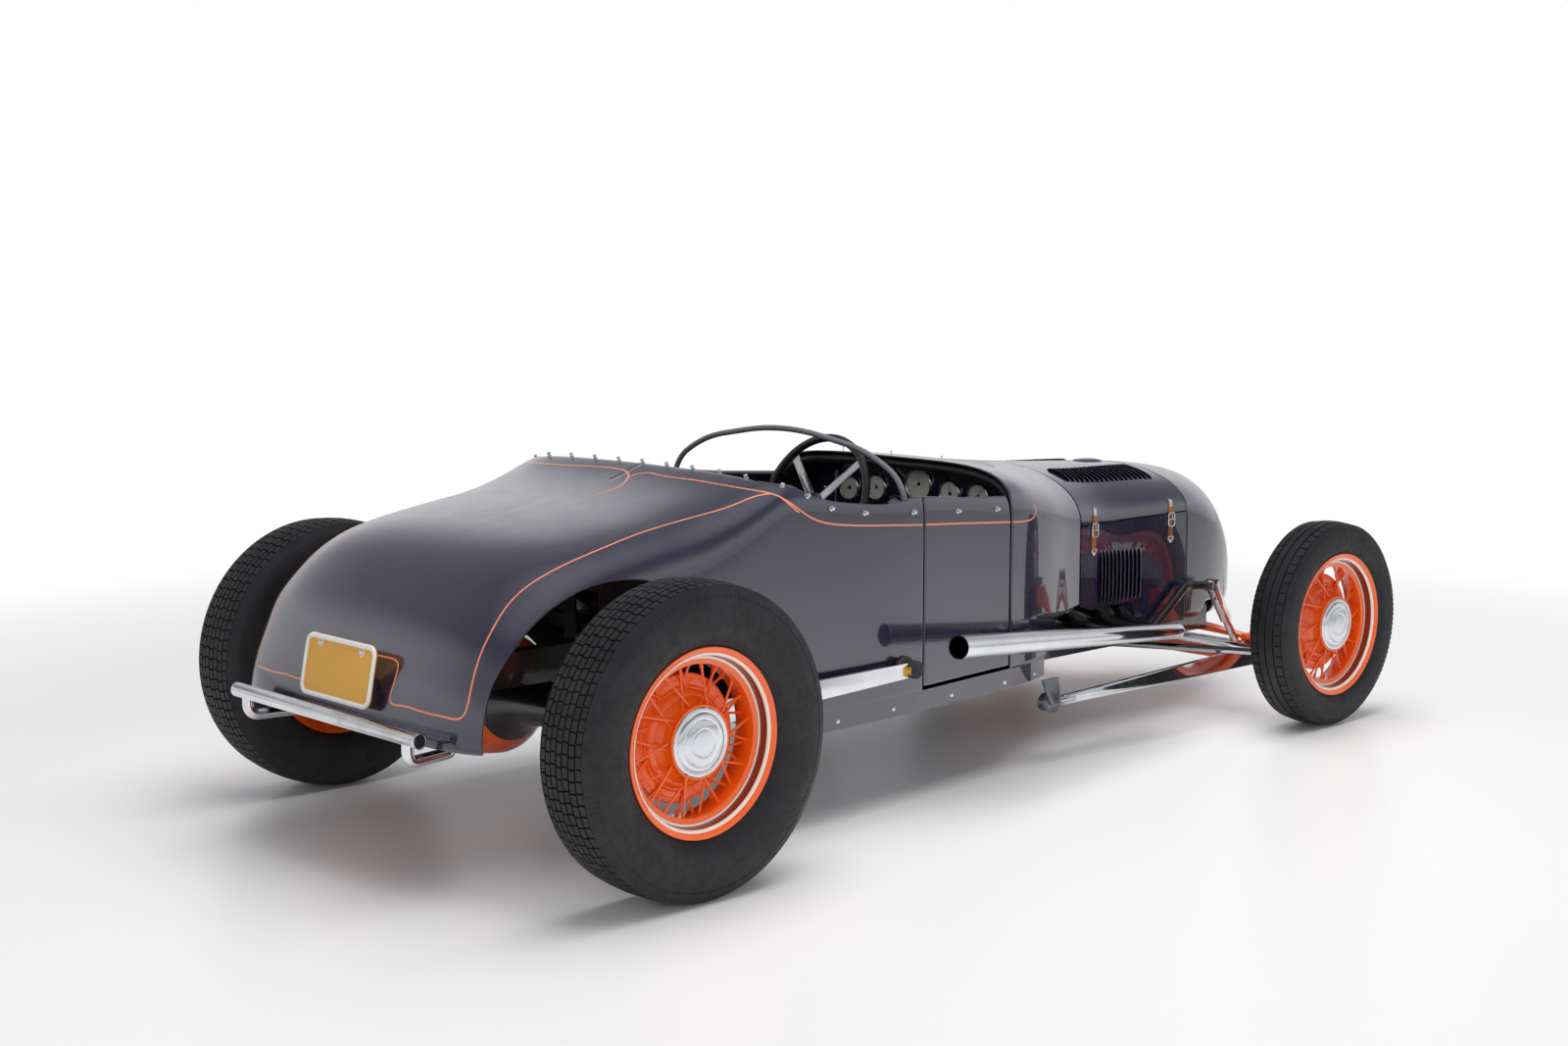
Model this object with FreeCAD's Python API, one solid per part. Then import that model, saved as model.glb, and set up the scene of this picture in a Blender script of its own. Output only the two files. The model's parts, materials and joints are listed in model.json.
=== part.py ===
import FreeCAD, Part
import math
import os
from FreeCAD import Vector as V

# Street rod roadster, millimetres. Forward is +X, left is +Y, up is +Z, the ground is z = 0.
# Every x below is measured forward from the rear axle; the export moves the whole car so that
# the middle of its length is x = 0.

# Running gear
wheelbase = 2647.0
rear_track = 1505.0
front_track = 1429.0
rear_tyre_radius = 368.0
rear_tyre_width = 188.0
front_tyre_radius = 317.0
front_tyre_width = 142.0
rim_radius = 220.5
bead_seat_radius = 206.0
rear_rim_width = 130.0
front_rim_width = 116.0
spoke_pairs = 10
spoke_radius = 3.2
hub_cap_radius = 84.0
seat_gap = 0.3
running_gap = 0.05

# Body stations
tail_x = -443.0
tail_bottom_z = 350.0
cockpit_rear_x = 500.0
door_rear_x = 1030.0
door_front_x = 1430.0
cowl_front_x = 1900.0
hood_front_x = 2450.0
nose_tip_x = 2976.0
panel_gap = 3.0
door_gap = 6.0
hinge_radius = 2.7
hinge_pin = 1.5
hinge_low = 350.0
hinge_high = 640.0
deck_sheet = 6.0
wall_thickness = 26.0
hood_sheet = 5.0
ledge_sheet = 4.0
ledge_reach = 22.0
bead_y = 487.0
body_bottom_z = 300.0
hood_bottom_z = 410.0
notch_z = 388.0
hood_split_z = 648.0
arch_x = -20.0
arch_z = 340.0
arch_radius = 370.0
tail_flank_depth = 225.0
tail_reach = 255.0

dash_x = 1560.0
bow_x = 1012.0
gearbox_rear_x = 1480.0
gearbox_half = 105.0
gearbox_top = 470.0
bumper_x = -485.5
bumper_half = 402.0
bumper_z = 380.0
bumper_radius = 18.0
collar_radius = 18.5
collar_length = 12.0
plate_stud = 31.0

# Frame
rail_y = 272.0
rail_width = 44.0
rail_bottom_z = 250.0
rail_depth = 85.0
rail_front_x = 2620.0
rail_kick_x = 340.0
rail_rear_x = -330.0
rail_kick = 190.0
pan_sheet = 4.0
pan_bottom_z = rail_bottom_z - seat_gap - pan_sheet
pan_front_x = 1640.0
pan_rear_x = 560.0
kick_run = 200.0

spring_x = 75.0
spring_seat_z = 600.0
radiator_x = 2510.0
radiator_z = 330.0
riser_top = 408.0
seat_top_z = 470.0
back_foot_x = 640.0
top_louvres = 18
top_louvre_x = 1981.0
louvre_pitch = 24.0
side_louvres = 11
side_louvre_x = 2013.0
side_pitch = 20.0
louvre_width = 9.0

# Steering and front axle
kingpin_y = 600.0
kingpin_radius = 11.0
spindle_radius = 17.0
steer_arm = 125.0
drag_arm = 165.0
link_z = 228.0
pitman_x = 2330.0
pitman_y = 210.0
link_radius = 11.0
beam_z = 186.0
beam_height = 60.0
beam_width = 44.0
rod_y = 478.0
column_y = 210.0
column_slope = 22.0
steering_wheel_x = 1335.0
steering_wheel_z = 717.0
steering_wheel_radius = 205.0
rim_grip_radius = 12.0

parts = {}


def keep(name, shape):
    parts[name] = shape


def box(x0, x1, y0, y1, z0, z1):
    return Part.makeBox(x1 - x0, y1 - y0, z1 - z0, V(x0, y0, z0))


def rod(a, b, radius):
    a, b = V(*a), V(*b)
    return Part.makeCylinder(radius, (b - a).Length, a, b - a)


def ball(at, radius):
    return Part.makeSphere(radius, V(*at))


def mirrored(shape):
    return shape.mirror(V(0, 0, 0), V(0, 1, 0))


def seated(shape, other, way):
    # shape cut back to a seat gap off the other solid, seen along the way that it leaves it
    bed = other.copy()
    bed.translate(V(*way) * seat_gap)
    return shape.cut(bed)


def plate(points, y0, y1):
    wire = Part.makePolygon([V(x, y0, z) for x, z in points + points[:1]])
    return Part.Face(wire).extrude(V(0, y1 - y0, 0))


def slab(points, z0, z1):
    wire = Part.makePolygon([V(x, y, z0) for x, y in points + points[:1]])
    return Part.Face(wire).extrude(V(0, 0, z1 - z0))


def turned(points, centre=(0, 0, 0)):
    # points are (radius, y); turned about the Y axis through the centre
    wire = Part.makePolygon([V(r, y, 0) for r, y in points + points[:1]])
    solid = Part.Face(wire).revolve(V(0, 0, 0), V(0, 1, 0), 360)
    solid.translate(V(*centre))
    return solid


def bent(points, bend=0.0):
    # a path of straight runs with an arc at each corner: one radius, or each as large as its runs allow
    pts = [V(*p) for p in points]
    edges = []
    start = pts[0]
    for before, corner, after in zip(pts, pts[1:], pts[2:]):
        u = (before - corner).normalize()
        w = (after - corner).normalize()
        half = math.acos(max(-1, min(1, u.dot(w)))) / 2
        reach = bend / math.tan(half)
        if not bend:
            reach = 0.48 * min((before - corner).Length, (after - corner).Length)
        radius = reach * math.tan(half)
        a = corner + u * reach
        b = corner + w * reach
        middle = (u + w).normalize()
        crest = corner + middle * (radius / math.sin(half) - radius)
        edges.append(Part.LineSegment(start, a).toShape())
        edges.append(Part.Arc(a, crest, b).toShape())
        start = b
    edges.append(Part.LineSegment(start, pts[-1]).toShape())
    return Part.Wire(edges)


def swept(points, bend, radius, bore=0.0):
    path = bent(points, bend)
    start = V(*points[0])
    along = V(*points[1]) - start
    ring = Part.Wire(Part.makeCircle(radius, start, along))
    solid = path.makePipeShell([ring], True, False)
    if bore:
        hole = Part.Wire(Part.makeCircle(bore, start, along))
        solid = solid.cut(path.makePipeShell([hole], True, False))
    return solid


def along(stations, x):
    # a smooth curve through the stations (x, value), flat in slope where the chords turn over
    xs = [s[0] for s in stations]
    vs = [s[1] for s in stations]
    if x <= xs[0]:
        return vs[0]
    if x >= xs[-1]:
        return vs[-1]
    slopes = [(b - a) / (q - p) for a, b, p, q in zip(vs, vs[1:], xs, xs[1:])]
    ends = [slopes[0]] + [(s + t) / 2 for s, t in zip(slopes, slopes[1:])] + [slopes[-1]]
    i = max(k for k in range(len(xs) - 1) if xs[k] <= x)
    h = xs[i + 1] - xs[i]
    t = (x - xs[i]) / h
    return ((2 * t ** 3 - 3 * t ** 2 + 1) * vs[i] + (t ** 3 - 2 * t ** 2 + t) * h * ends[i]
            + (3 * t ** 2 - 2 * t ** 3) * vs[i + 1] + (t ** 3 - t ** 2) * h * ends[i + 1])


# The body's lines from tail to nose: (x, value) stations
half_width = [(-450, 545), (200, 545), (500, 541), (900, 531), (1050, 520), (1280, 497), (1500, 474),
              (1700, 418), (cowl_front_x, 351), (hood_front_x, 329)]
arch_power = [(0, 5.5), (300, 6), (520, 9), (900, 8), (1200, 6.5), (1430, 4.5), (1520, 3.5),
              (1700, 2.7), (cowl_front_x, 2.2), (hood_front_x, 2.2)]
crown_z = [(250, 842), (372, 868), (444, 890), (520, 914), (600, 912), (720, 900), (900, 890),
           (1100, 885), (1300, 875), (1430, 868), (1520, 862), (1700, 840), (cowl_front_x, 820),
           (hood_front_x, 783)]
arch_depth = [(250, tail_flank_depth), (1030, 225), (1430, 190), (1520, 164), (1700, 165),
              (cowl_front_x, 170), (hood_front_x, 143)]
wall_top = [(600, 862), (665, 842), (735, 830), (800, 821), (890, 814), (950, 817), (1000, 823),
            (door_rear_x, 822), (1200, 805), (door_front_x, 790)]

# The nose: x, half width, crown, top of the flank, foot of the flank, keel
nose_line = [(hood_front_x + panel_gap, 329, 783, 640, 330, 262), (2560, 320, 773, 600, 335, 250),
             (2660, 300, 757, 540, 360, 246), (2743, 271, 730, 470, 375, 240),
             (2814, 235, 686, 420, 365, 246), (2884, 185, 628, 410, 375, 268),
             (2940, 130, 570, 425, 395, 305), (nose_tip_x, 82, 520, 440, 420, 345)]


def arch_points(half, depth, power, count, crown=0.0):
    # the upper outline as (y, depth below the crown), from the left flank over to the right
    points = []
    for k in range(count + 1):
        angle = math.pi * k / count
        c, s = math.cos(angle), math.sin(angle)
        y = math.copysign(abs(c) ** (2 / power), c) * half
        fall = depth * (1 - abs(s) ** (2 / power))
        points.append((y, fall + crown * (y / half) ** 2))
    return points


def section(place, half, depth, power, reach, side, top, crown=0.0):
    # one closed section of the shell: outer arch, foot, inner arch, foot
    steps = 16
    outer = arch_points(half, depth, power, steps, crown)
    inner = arch_points(half - side, depth, power, steps, crown)
    out = [place(half, reach)] + [place(y, d) for y, d in outer] + [place(-half, reach)]
    ins = [place(half - side, reach)] + [place(y, d + top) for y, d in inner]
    ins.append(place(side - half, reach))
    down = place(0, 1.0) - place(0, 0.0)
    curves = []
    for run in (out, ins[::-1]):
        curve = Part.BSplineCurve()
        curve.interpolate(Points=run, InitialTangent=down * -1, FinalTangent=down)
        curves.append(curve.toShape())
    foot_a = Part.LineSegment(out[-1], ins[-1]).toShape()
    foot_b = Part.LineSegment(ins[0], out[0]).toShape()
    return Part.Wire([curves[0], foot_a, curves[1], foot_b])


# The tail turns down in one curve: x and z of the crown, and the turn of its section
tail_line = [(tail_x, tail_bottom_z, 90), (-434, 408, 80), (-417, 468, 70), (-388, 536, 63), (-353, 605, 55),
             (-293, 671, 43), (-205, 737, 29), (-112, 776, 16), (0, 801, 9), (120, 821, 3),
             (250, 842, 0)]
tub_stations = [372, 444, 520, 600, 720, 900, 1060, 1240, door_front_x]


def placed(x, z, turn):
    angle = math.radians(turn)
    return lambda y, d: V(x + d * math.sin(angle), y, z - d * math.cos(angle))


def tub_form():
    wires = []
    for x, z, turn in tail_line:
        reach = tail_reach + max(0, x) * 1.2
        wires.append(section(placed(x, z, turn), along(half_width, x), tail_flank_depth, 5.5, reach,
                             10, deck_sheet, 14))
    for x in tub_stations:
        z = along(crown_z, x)
        side = along([(330, 10), (500, 14), (620, wall_thickness), (1430, wall_thickness)], x)
        wires.append(section(placed(x, z, 0), along(half_width, x), along(arch_depth, x),
                             along(arch_power, x), z - body_bottom_z, side, deck_sheet, 14))
    return Part.makeLoft(wires, True, False)


def forward_form(stations, bottom, sheet, inset=0.0):
    wires = []
    for x in stations:
        z = along(crown_z, x) - inset
        wires.append(section(placed(x, z, 0), along(half_width, x) - inset, along(arch_depth, x),
                             along(arch_power, x), z - bottom, sheet, sheet, 0))
    return Part.makeLoft(wires, True, False)


def filled(x0, x1, inset, bottom):
    # a solid bulkhead that fills the body's inside between two stations
    wires = []
    for x in (x0, x1):
        z = along(crown_z, x)
        place = placed(x, z, 0)
        half = along(half_width, x)
        crown = 14 if x < door_front_x else 0
        run = [place(y * (half - inset) / half, d + inset)
               for y, d in arch_points(half, along(arch_depth, x), along(arch_power, x), 16, crown)]
        run = [place(half - inset, z - bottom)] + run + [place(inset - half, z - bottom)]
        curve = Part.BSplineCurve()
        curve.interpolate(Points=run, InitialTangent=V(0, 0, 1), FinalTangent=V(0, 0, -1))
        wires.append(Part.Wire([curve.toShape(), Part.LineSegment(run[-1], run[0]).toShape()]))
    return Part.makeLoft(wires, True, True)


def plan(x0, x1, inset, step=90.0):
    # the body's outline seen from above between two stations, as a closed polygon
    count = max(2, int(round((x1 - x0) / step)))
    xs = [x0 + (x1 - x0) * k / count for k in range(count + 1)]
    left = [(x, along(half_width, x) - inset) for x in xs]
    return left + [(x, -y) for x, y in left[::-1]]


def body():
    tub = tub_form()
    arch = Part.makeCylinder(arch_radius, 1400, V(arch_x, -700, arch_z), V(0, 1, 0))
    lip = slab([(cockpit_rear_x, -440), (cockpit_rear_x, 440), (cockpit_rear_x + 22, 484),
                (cockpit_rear_x + 70, 508), (cockpit_rear_x + 70, -508), (cockpit_rear_x + 22, -484)],
               200, 1100)
    opening = slab(plan(cockpit_rear_x + 69, door_front_x + 1, wall_thickness + 4), 200, 1100)
    top = plate([(cockpit_rear_x, 1100), (cockpit_rear_x, 925)] + wall_top +
                [(door_front_x + 1, 1100)], -700, 700)
    shell = tub.cut(lip).cut(opening).cut(top)
    below = box(-700, arch_x + arch_radius, -700, 700, 0, arch_z)
    side = box(-700, door_rear_x, bead_y, 700, 0, 1200)
    left = shell.common(side).cut(arch).cut(below)
    deck = shell.common(box(-700, cockpit_rear_x + 120, -bead_y, bead_y, tail_bottom_z, 1200))
    keep("rear_deck", deck)
    keep("quarter_panel_left", left)
    keep("quarter_panel_right", mirrored(left))
    door = shell.common(box(door_rear_x + door_gap, door_front_x - door_gap, 300, 700,
                            body_bottom_z + 10, 1200))
    hinge_x = door_front_x - door_gap / 2
    hinge_y = along(half_width, hinge_x) - hinge_radius
    barrel = rod((hinge_x, hinge_y, hinge_low), (hinge_x, hinge_y, hinge_high), hinge_radius)
    leaf = box(door_front_x - door_gap - 2, hinge_x, hinge_y - hinge_radius, hinge_y + hinge_radius,
               hinge_low, hinge_high)
    bore = rod((hinge_x, hinge_y, hinge_low - 1), (hinge_x, hinge_y, hinge_high + 1),
               hinge_pin + running_gap)
    door = door.multiFuse([barrel, leaf]).cut(bore)
    keep("door_left", door)
    keep("door_right", mirrored(door))
    cowl = forward_form([door_front_x, 1520, 1610, 1700, 1800, cowl_front_x], body_bottom_z, hood_sheet)
    rise = plate([(pan_front_x, 0), (pan_front_x, body_bottom_z), (pan_front_x + 60, hood_bottom_z - 15),
                  (cowl_front_x + 1, hood_bottom_z), (cowl_front_x + 1, 0)], -700, 700)
    cowl = cowl.cut(rise)
    hinges = []
    for s in (1, -1):
        y = s * hinge_y
        hinges.append(rod((hinge_x, y, hinge_low - 8), (hinge_x, y, hinge_high + 8), hinge_pin))
        for z in (hinge_low - 8, hinge_high + 0.5):
            hinges.append(box(hinge_x - hinge_pin, door_front_x + 3, y - hinge_radius, y + hinge_radius,
                              z, z + 7.5))
    foot_z = hood_bottom_z + 12
    collar = forward_form([cowl_front_x - 7, cowl_front_x], foot_z, hood_sheet + ledge_sheet, hood_sheet / 2)
    ledge = forward_form([cowl_front_x - 4, cowl_front_x + ledge_reach], foot_z, ledge_sheet,
                         hood_sheet + 2 * seat_gap)
    keep("cowl", cowl.multiFuse(hinges + [collar, ledge]))
    dash = filled(dash_x, dash_x + 4, hood_sheet + 0.8, 655)
    keep("dash_panel", seated(dash, parts["cowl"], (0, 0, -1)))
    wall = filled(cowl_front_x - 12, cowl_front_x - 8, hood_sheet + seat_gap, 412)
    wall = wall.cut(box(cowl_front_x - 20, cowl_front_x, -gearbox_half - 10, gearbox_half + 10, 0,
                        gearbox_top + 20))
    column_z = steering_wheel_z - (cowl_front_x - 10 - steering_wheel_x) * math.tan(math.radians(column_slope))
    wall = wall.cut(rod((cowl_front_x - 60, column_y, column_z + 20), (cowl_front_x + 40, column_y,
                                                                   column_z - 20), 30))
    keep("firewall", wall)


def upright_slot(x, y0, y1, z0, z1, width):
    # a cutter for one slot with rounded ends, through a panel that faces sideways
    r = width / 2
    ends = [rod((x, y0, z), (x, y1, z), r) for z in (z0 + r, z1 - r)]
    return box(x - r, x + r, y0, y1, z0 + r, z1 - r).multiFuse(ends)


def cross_slot(x, y0, y1, width):
    # a cutter for one slot with rounded ends, through a panel that faces upwards
    r = width / 2
    ends = [rod((x, y, 700), (x, y, 900), r) for y in (y0 + r, y1 - r)]
    return box(x - r, x + r, y0 + r, y1 - r, 700, 900).multiFuse(ends)


def hood():
    form = forward_form([cowl_front_x + panel_gap, 2040, 2180, 2315, hood_front_x], body_bottom_z,
                        hood_sheet)
    above = box(1800, 2600, -500, 500, hood_split_z, 1000)
    below = box(1800, 2600, 0, 500, 250, hood_split_z - seat_gap)
    slots = []
    for k in range(top_louvres):
        x = top_louvre_x + k * louvre_pitch
        slots.append(cross_slot(x, 155 - 2.6 * k, 237, louvre_width))
    slots += [mirrored(slot) for slot in slots]
    keep("hood_top", form.common(above).cut(slots))
    rise = plate([(cowl_front_x, 200), (cowl_front_x, hood_bottom_z), (1960, notch_z), (2178, notch_z),
                  (2214, body_bottom_z), (2214, 200)], 0, 500)
    slots = []
    for k in range(side_louvres):
        x = side_louvre_x + k * side_pitch
        slots.append(upright_slot(x, 250, 450, notch_z + 11, 560 - k, louvre_width))
    side = form.common(below).cut(rise).cut(slots)
    keep("hood_side_left", side)
    keep("hood_side_right", mirrored(side))


def oval(x, half, top, upper, lower, keel, inset):
    half, top, keel = half - inset, top - inset, keel + inset
    points = []
    for k in range(11):
        angle = math.pi * k / 10
        c, s = math.cos(angle), math.sin(angle)
        points.append(V(x, math.copysign(abs(c) ** (2 / 2.2), c) * half,
                        upper + (top - upper) * abs(s) ** (2 / 2.2)))
    flank = [upper + (lower - upper) * k / 3 for k in (1, 2)]
    points += [V(x, -half, z) for z in flank]
    for k in range(9):
        angle = math.pi + math.pi * k / 8
        c, s = math.cos(angle), math.sin(angle)
        points.append(V(x, math.copysign(abs(c) ** (2 / 2.6), c) * half,
                        lower - (lower - keel) * abs(s) ** (2 / 2.6)))
    points += [V(x, half, z) for z in flank[::-1]]
    curve = Part.BSplineCurve()
    curve.interpolate(Points=points, PeriodicFlag=True)
    return Part.Wire(curve.toShape())


def nose():
    skin = Part.makeLoft([oval(*row, 0) for row in nose_line], True, False)
    core = Part.makeLoft([oval(*row, hood_sheet) for row in nose_line], True, False)
    shell = skin.cut(core)
    back = hood_front_x + panel_gap
    collar = Part.makeLoft([oval(*row, hood_sheet - 2) for row in nose_line[:2]], True, False)
    collar = collar.cut(Part.makeLoft([oval(*row, hood_sheet + 7) for row in nose_line[:2]], True, False))
    collar = collar.common(box(back, back + 7, -500, 500, hood_bottom_z + 12, 1000))
    ledge = forward_form([hood_front_x - ledge_reach, back + 4], hood_bottom_z + 12, ledge_sheet,
                         hood_sheet + 3 * seat_gap)
    rail_top = rail_bottom_z + rail_depth
    feet = []
    for s in (1, -1):
        feet.append(box(2550, 2580, min(s * 268, s * 312), max(s * 268, s * 312),
                        rail_top + seat_gap, rail_top + 8))
        feet.append(box(2550, 2580, min(s * 297, s * 316), max(s * 297, s * 316),
                        rail_top + seat_gap, rail_top + 51))
    shell = shell.multiFuse([collar, ledge])
    open_under = plate([(hood_front_x - 40, 0), (hood_front_x - 40, body_bottom_z), (2545, body_bottom_z),
                        (2580, 345), (2640, 345), (2700, 275), (2760, 236), (2790, 0)], -500, 500)
    keep("nose_shell", shell.cut(open_under).multiFuse(feet))
    bed = Part.makeLoft([oval(*row, hood_sheet + seat_gap) for row in nose_line], True, False)
    panel = bed.common(box(nose_tip_x - 22, nose_tip_x - 14, -200, 200, 200, 700))
    gap = 13.0
    cuts = []
    for k in range(-5, 6):
        y = k * (gap + 7)
        cuts.append(box(nose_tip_x - 30, nose_tip_x, y - gap / 2, y + gap / 2, 200, 700))
    window = Part.makeLoft([oval(*row, hood_sheet + 12) for row in nose_line], True, False)
    bars = panel.cut(window.common(cuts[0].multiFuse(cuts[1:])))
    keep("grille", bars)


def frame():
    def rail(y):
        kick = [(rail_front_x, rail_bottom_z), (rail_kick_x + kick_run - 40, rail_bottom_z),
                (rail_kick_x - 40, rail_bottom_z + rail_kick), (rail_rear_x, rail_bottom_z + rail_kick),
                (rail_rear_x, rail_bottom_z + rail_kick + rail_depth),
                (rail_kick_x, rail_bottom_z + rail_kick + rail_depth),
                (rail_kick_x + kick_run, rail_bottom_z + rail_depth),
                (rail_front_x, rail_bottom_z + rail_depth)]
        return plate(kick, y - rail_width / 2, y + rail_width / 2)
    rails = [rail(rail_y), rail(-rail_y)]
    cross = []
    for x, z, w, h in ((rail_front_x - 40, rail_bottom_z + 20, 90, 55), (1700, rail_bottom_z + 5, 70, 40),
                       (rail_rear_x + 60, rail_bottom_z + rail_kick + 10, 60, 60),
                       (radiator_x, rail_bottom_z + 20, 60, radiator_z - seat_gap - rail_bottom_z - 20),
                       (spring_x, spring_seat_z, 70, 40)):
        cross.append(box(x - w / 2, x + w / 2, -rail_y, rail_y, z, z + h))
    top = rail_bottom_z + rail_kick + rail_depth
    for y in (rail_y, -rail_y):
        for x in (spring_x - 35, spring_x + 29):
            cross.append(box(x, x + 6, y - rail_width / 2, y + rail_width / 2, top, spring_seat_z + 40))
    keep("frame_rails", rails[0].multiFuse(rails[1:] + cross).removeSplitter())


def floor():
    # the sheet floor on the rails, with a tunnel over the torque tube and a hump over the gearbox
    low = rail_bottom_z + rail_depth + seat_gap
    top = low + pan_sheet
    front = cowl_front_x - 20
    start = 1050 + seat_gap
    side = [(1640, low), (1700, 400), (front, hood_bottom_z + 6), (front, hood_bottom_z + 10), (1698, 404),
            (1638, top), (start, top), (start, low)]
    sheet = plate(side, -600, 600).common(slab(plan(start, front, wall_thickness + 6), 0, 700))
    hump_start = gearbox_rear_x - 8
    tunnel = rod((start, 0, rear_tyre_radius), (hump_start + 4, 0, rear_tyre_radius), 44)
    tunnel = tunnel.common(box(start, front, -44, 44, top, 600))
    hump = box(hump_start, front, -gearbox_half - 8, gearbox_half + 8, low, gearbox_top + 8)
    inner = rod((1040, 0, rear_tyre_radius), (hump_start + 5, 0, rear_tyre_radius), 39.5)
    inner = inner.fuse(box(1040, hump_start + 5, -39.5, 39.5, 0, rear_tyre_radius))
    inner = inner.fuse(box(hump_start + 4, front + 1, -gearbox_half - 4, gearbox_half + 4, 0, gearbox_top + 4))
    keep("cockpit_floor", sheet.multiFuse([tunnel, hump]).cut(inner).removeSplitter())


def pan():
    rim = slab(plan(pan_rear_x, pan_front_x, 4), pan_bottom_z, body_bottom_z - seat_gap)
    room = slab(plan(pan_rear_x + pan_sheet, pan_front_x - pan_sheet, 4 + pan_sheet),
                pan_bottom_z + pan_sheet, body_bottom_z)
    tray = rim.cut(room)
    for y in (rail_y, -rail_y):
        tray = tray.cut(box(pan_rear_x - 1, pan_front_x + 1, y - rail_width / 2 - seat_gap,
                            y + rail_width / 2 + seat_gap, rail_bottom_z - seat_gap, 400))
    keep("belly_pan", tray)
    riser = slab(plan(505, 1050, wall_thickness + 6), pan_bottom_z + pan_sheet + seat_gap, riser_top)
    riser = riser.cut(slab(plan(500, 1050 - pan_sheet, wall_thickness + 6 + pan_sheet), 0,
                           riser_top - pan_sheet))
    riser = riser.cut(box(400, pan_rear_x + pan_sheet + seat_gap, -600, 600, 0, body_bottom_z + seat_gap))
    tunnel = rod((400, 0, rear_tyre_radius), (1200, 0, rear_tyre_radius), 39.5)
    riser = riser.cut(tunnel).cut(box(400, 1200, -39.5, 39.5, 0, rear_tyre_radius))
    for y in (rail_y, -rail_y):
        riser = riser.cut(box(400, 1200, y - rail_width / 2 - seat_gap, y + rail_width / 2 + seat_gap,
                              0, rail_bottom_z + rail_depth + seat_gap))
        rail_top = rail_bottom_z + rail_depth + seat_gap
        riser = riser.cut(plate([(rail_kick_x, 0), (rail_kick_x, rail_top + rail_kick),
                                 (rail_kick_x + kick_run + 1, rail_top), (rail_kick_x + kick_run + 1, 0)],
                                y - rail_width / 2 - seat_gap, y + rail_width / 2 + seat_gap))
    bulkhead = filled(cockpit_rear_x - 9, cockpit_rear_x - 5, 15, riser_top - 3)
    keep("seat_riser", riser.removeSplitter())
    floor()
    keep("rear_bulkhead", bulkhead)
    foot = riser_top + seat_gap
    base = plate([(back_foot_x + seat_gap, foot), (1046, foot), (1064, 440), (1050, seat_top_z),
                  (back_foot_x + seat_gap, seat_top_z)], -470, 470)
    back = plate([(504, foot), (back_foot_x, foot), (594, 812), (504, 826)], -432, 432)
    keep("seat_base", base)
    keep("seat_back", back)


def tyre(radius, width, rim_width):
    # the bead lies inside the rim's flange, and the sidewall swells from there to the shoulder
    half = width / 2
    lip = rim_width / 2 - 5.4
    start = rim_radius + 0.7
    wall = radius - start
    outer = [V(start, lip, 0), V(start + 0.16 * wall, lip + 0.7 * (half - lip), 0),
             V(start + 0.45 * wall, half, 0), V(start + 0.8 * wall, half * 0.91, 0),
             V(radius - 7, half * 0.76, 0)]
    bead = V(bead_seat_radius + seat_gap, rim_width / 2 - 9.5, 0)
    flipped = [V(p.x, -p.y, 0) for p in outer[::-1]]
    low = V(bead.x, -bead.y, 0)
    curve = Part.BSplineCurve()
    curve.interpolate(Points=outer)
    back = Part.BSplineCurve()
    back.interpolate(Points=flipped)
    crest = Part.Arc(outer[-1], V(radius, 0, 0), flipped[0]).toShape()
    edges = [curve.toShape(), crest, back.toShape(), Part.LineSegment(flipped[-1], low).toShape(),
             Part.LineSegment(low, bead).toShape(), Part.LineSegment(bead, outer[0]).toShape()]
    return Part.Face(Part.Wire(edges)).revolve(V(0, 0, 0), V(0, 1, 0), 360)


def wheel(half):
    r = rim_radius
    b = bead_seat_radius
    rim = turned([(r, half), (r, half - 4), (b, half - 8), (204, half - 34), (181, half - 42),
                  (181, 42 - half), (204, 34 - half), (b, 8 - half), (r, 4 - half), (r, -half),
                  (216, -half), (200, 5 - half), (199, 31 - half), (176, 39 - half), (176, half - 39),
                  (199, half - 31), (200, half - 5), (216, half)])
    hub = turned([(spindle_radius + running_gap, -46), (150, -46), (150, -16), (122, -16), (112, -4),
                  (86, 20), (80, 40), (hub_cap_radius, 42), (hub_cap_radius, 46), (70, 54), (40, 58),
                  (0.0, 60), (0.0, 22), (spindle_radius + running_gap, 22)])
    spokes = []
    for k in range(spoke_pairs):
        middle = 360.0 * k / spoke_pairs
        for turn, depth in ((1, 0), (-1, -8)):
            a = math.radians(middle - turn * 9)
            b = math.radians(middle + turn * 9)
            spokes.append(rod((74 * math.cos(a), 34 + depth, 74 * math.sin(a)),
                              (178.5 * math.cos(b), 16 + depth, 178.5 * math.sin(b)), spoke_radius))
            a = math.radians(middle + 18 - turn * 4)
            b = math.radians(middle + 18 + turn * 7)
            spokes.append(rod((112 * math.cos(a), -9 + depth / 2, 112 * math.sin(a)),
                              (178.5 * math.cos(b), -6 + depth, 178.5 * math.sin(b)), spoke_radius))
    return rim.multiFuse([hub] + spokes)


def wheels():
    for end, x, track, radius, width, rim_width in (
            ("rear", 0.0, rear_track, rear_tyre_radius, rear_tyre_width, rear_rim_width),
            ("front", wheelbase, front_track, front_tyre_radius, front_tyre_width, front_rim_width)):
        rubber = tyre(radius, width, rim_width)
        steel = wheel(rim_width / 2)
        for shape, name in ((rubber, "tyre"), (steel, "wheel")):
            left = shape.copy()
            left.translate(V(x, track / 2, radius))
            keep(name + "_" + end + "_left", left)
            keep(name + "_" + end + "_right", mirrored(left))


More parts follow.
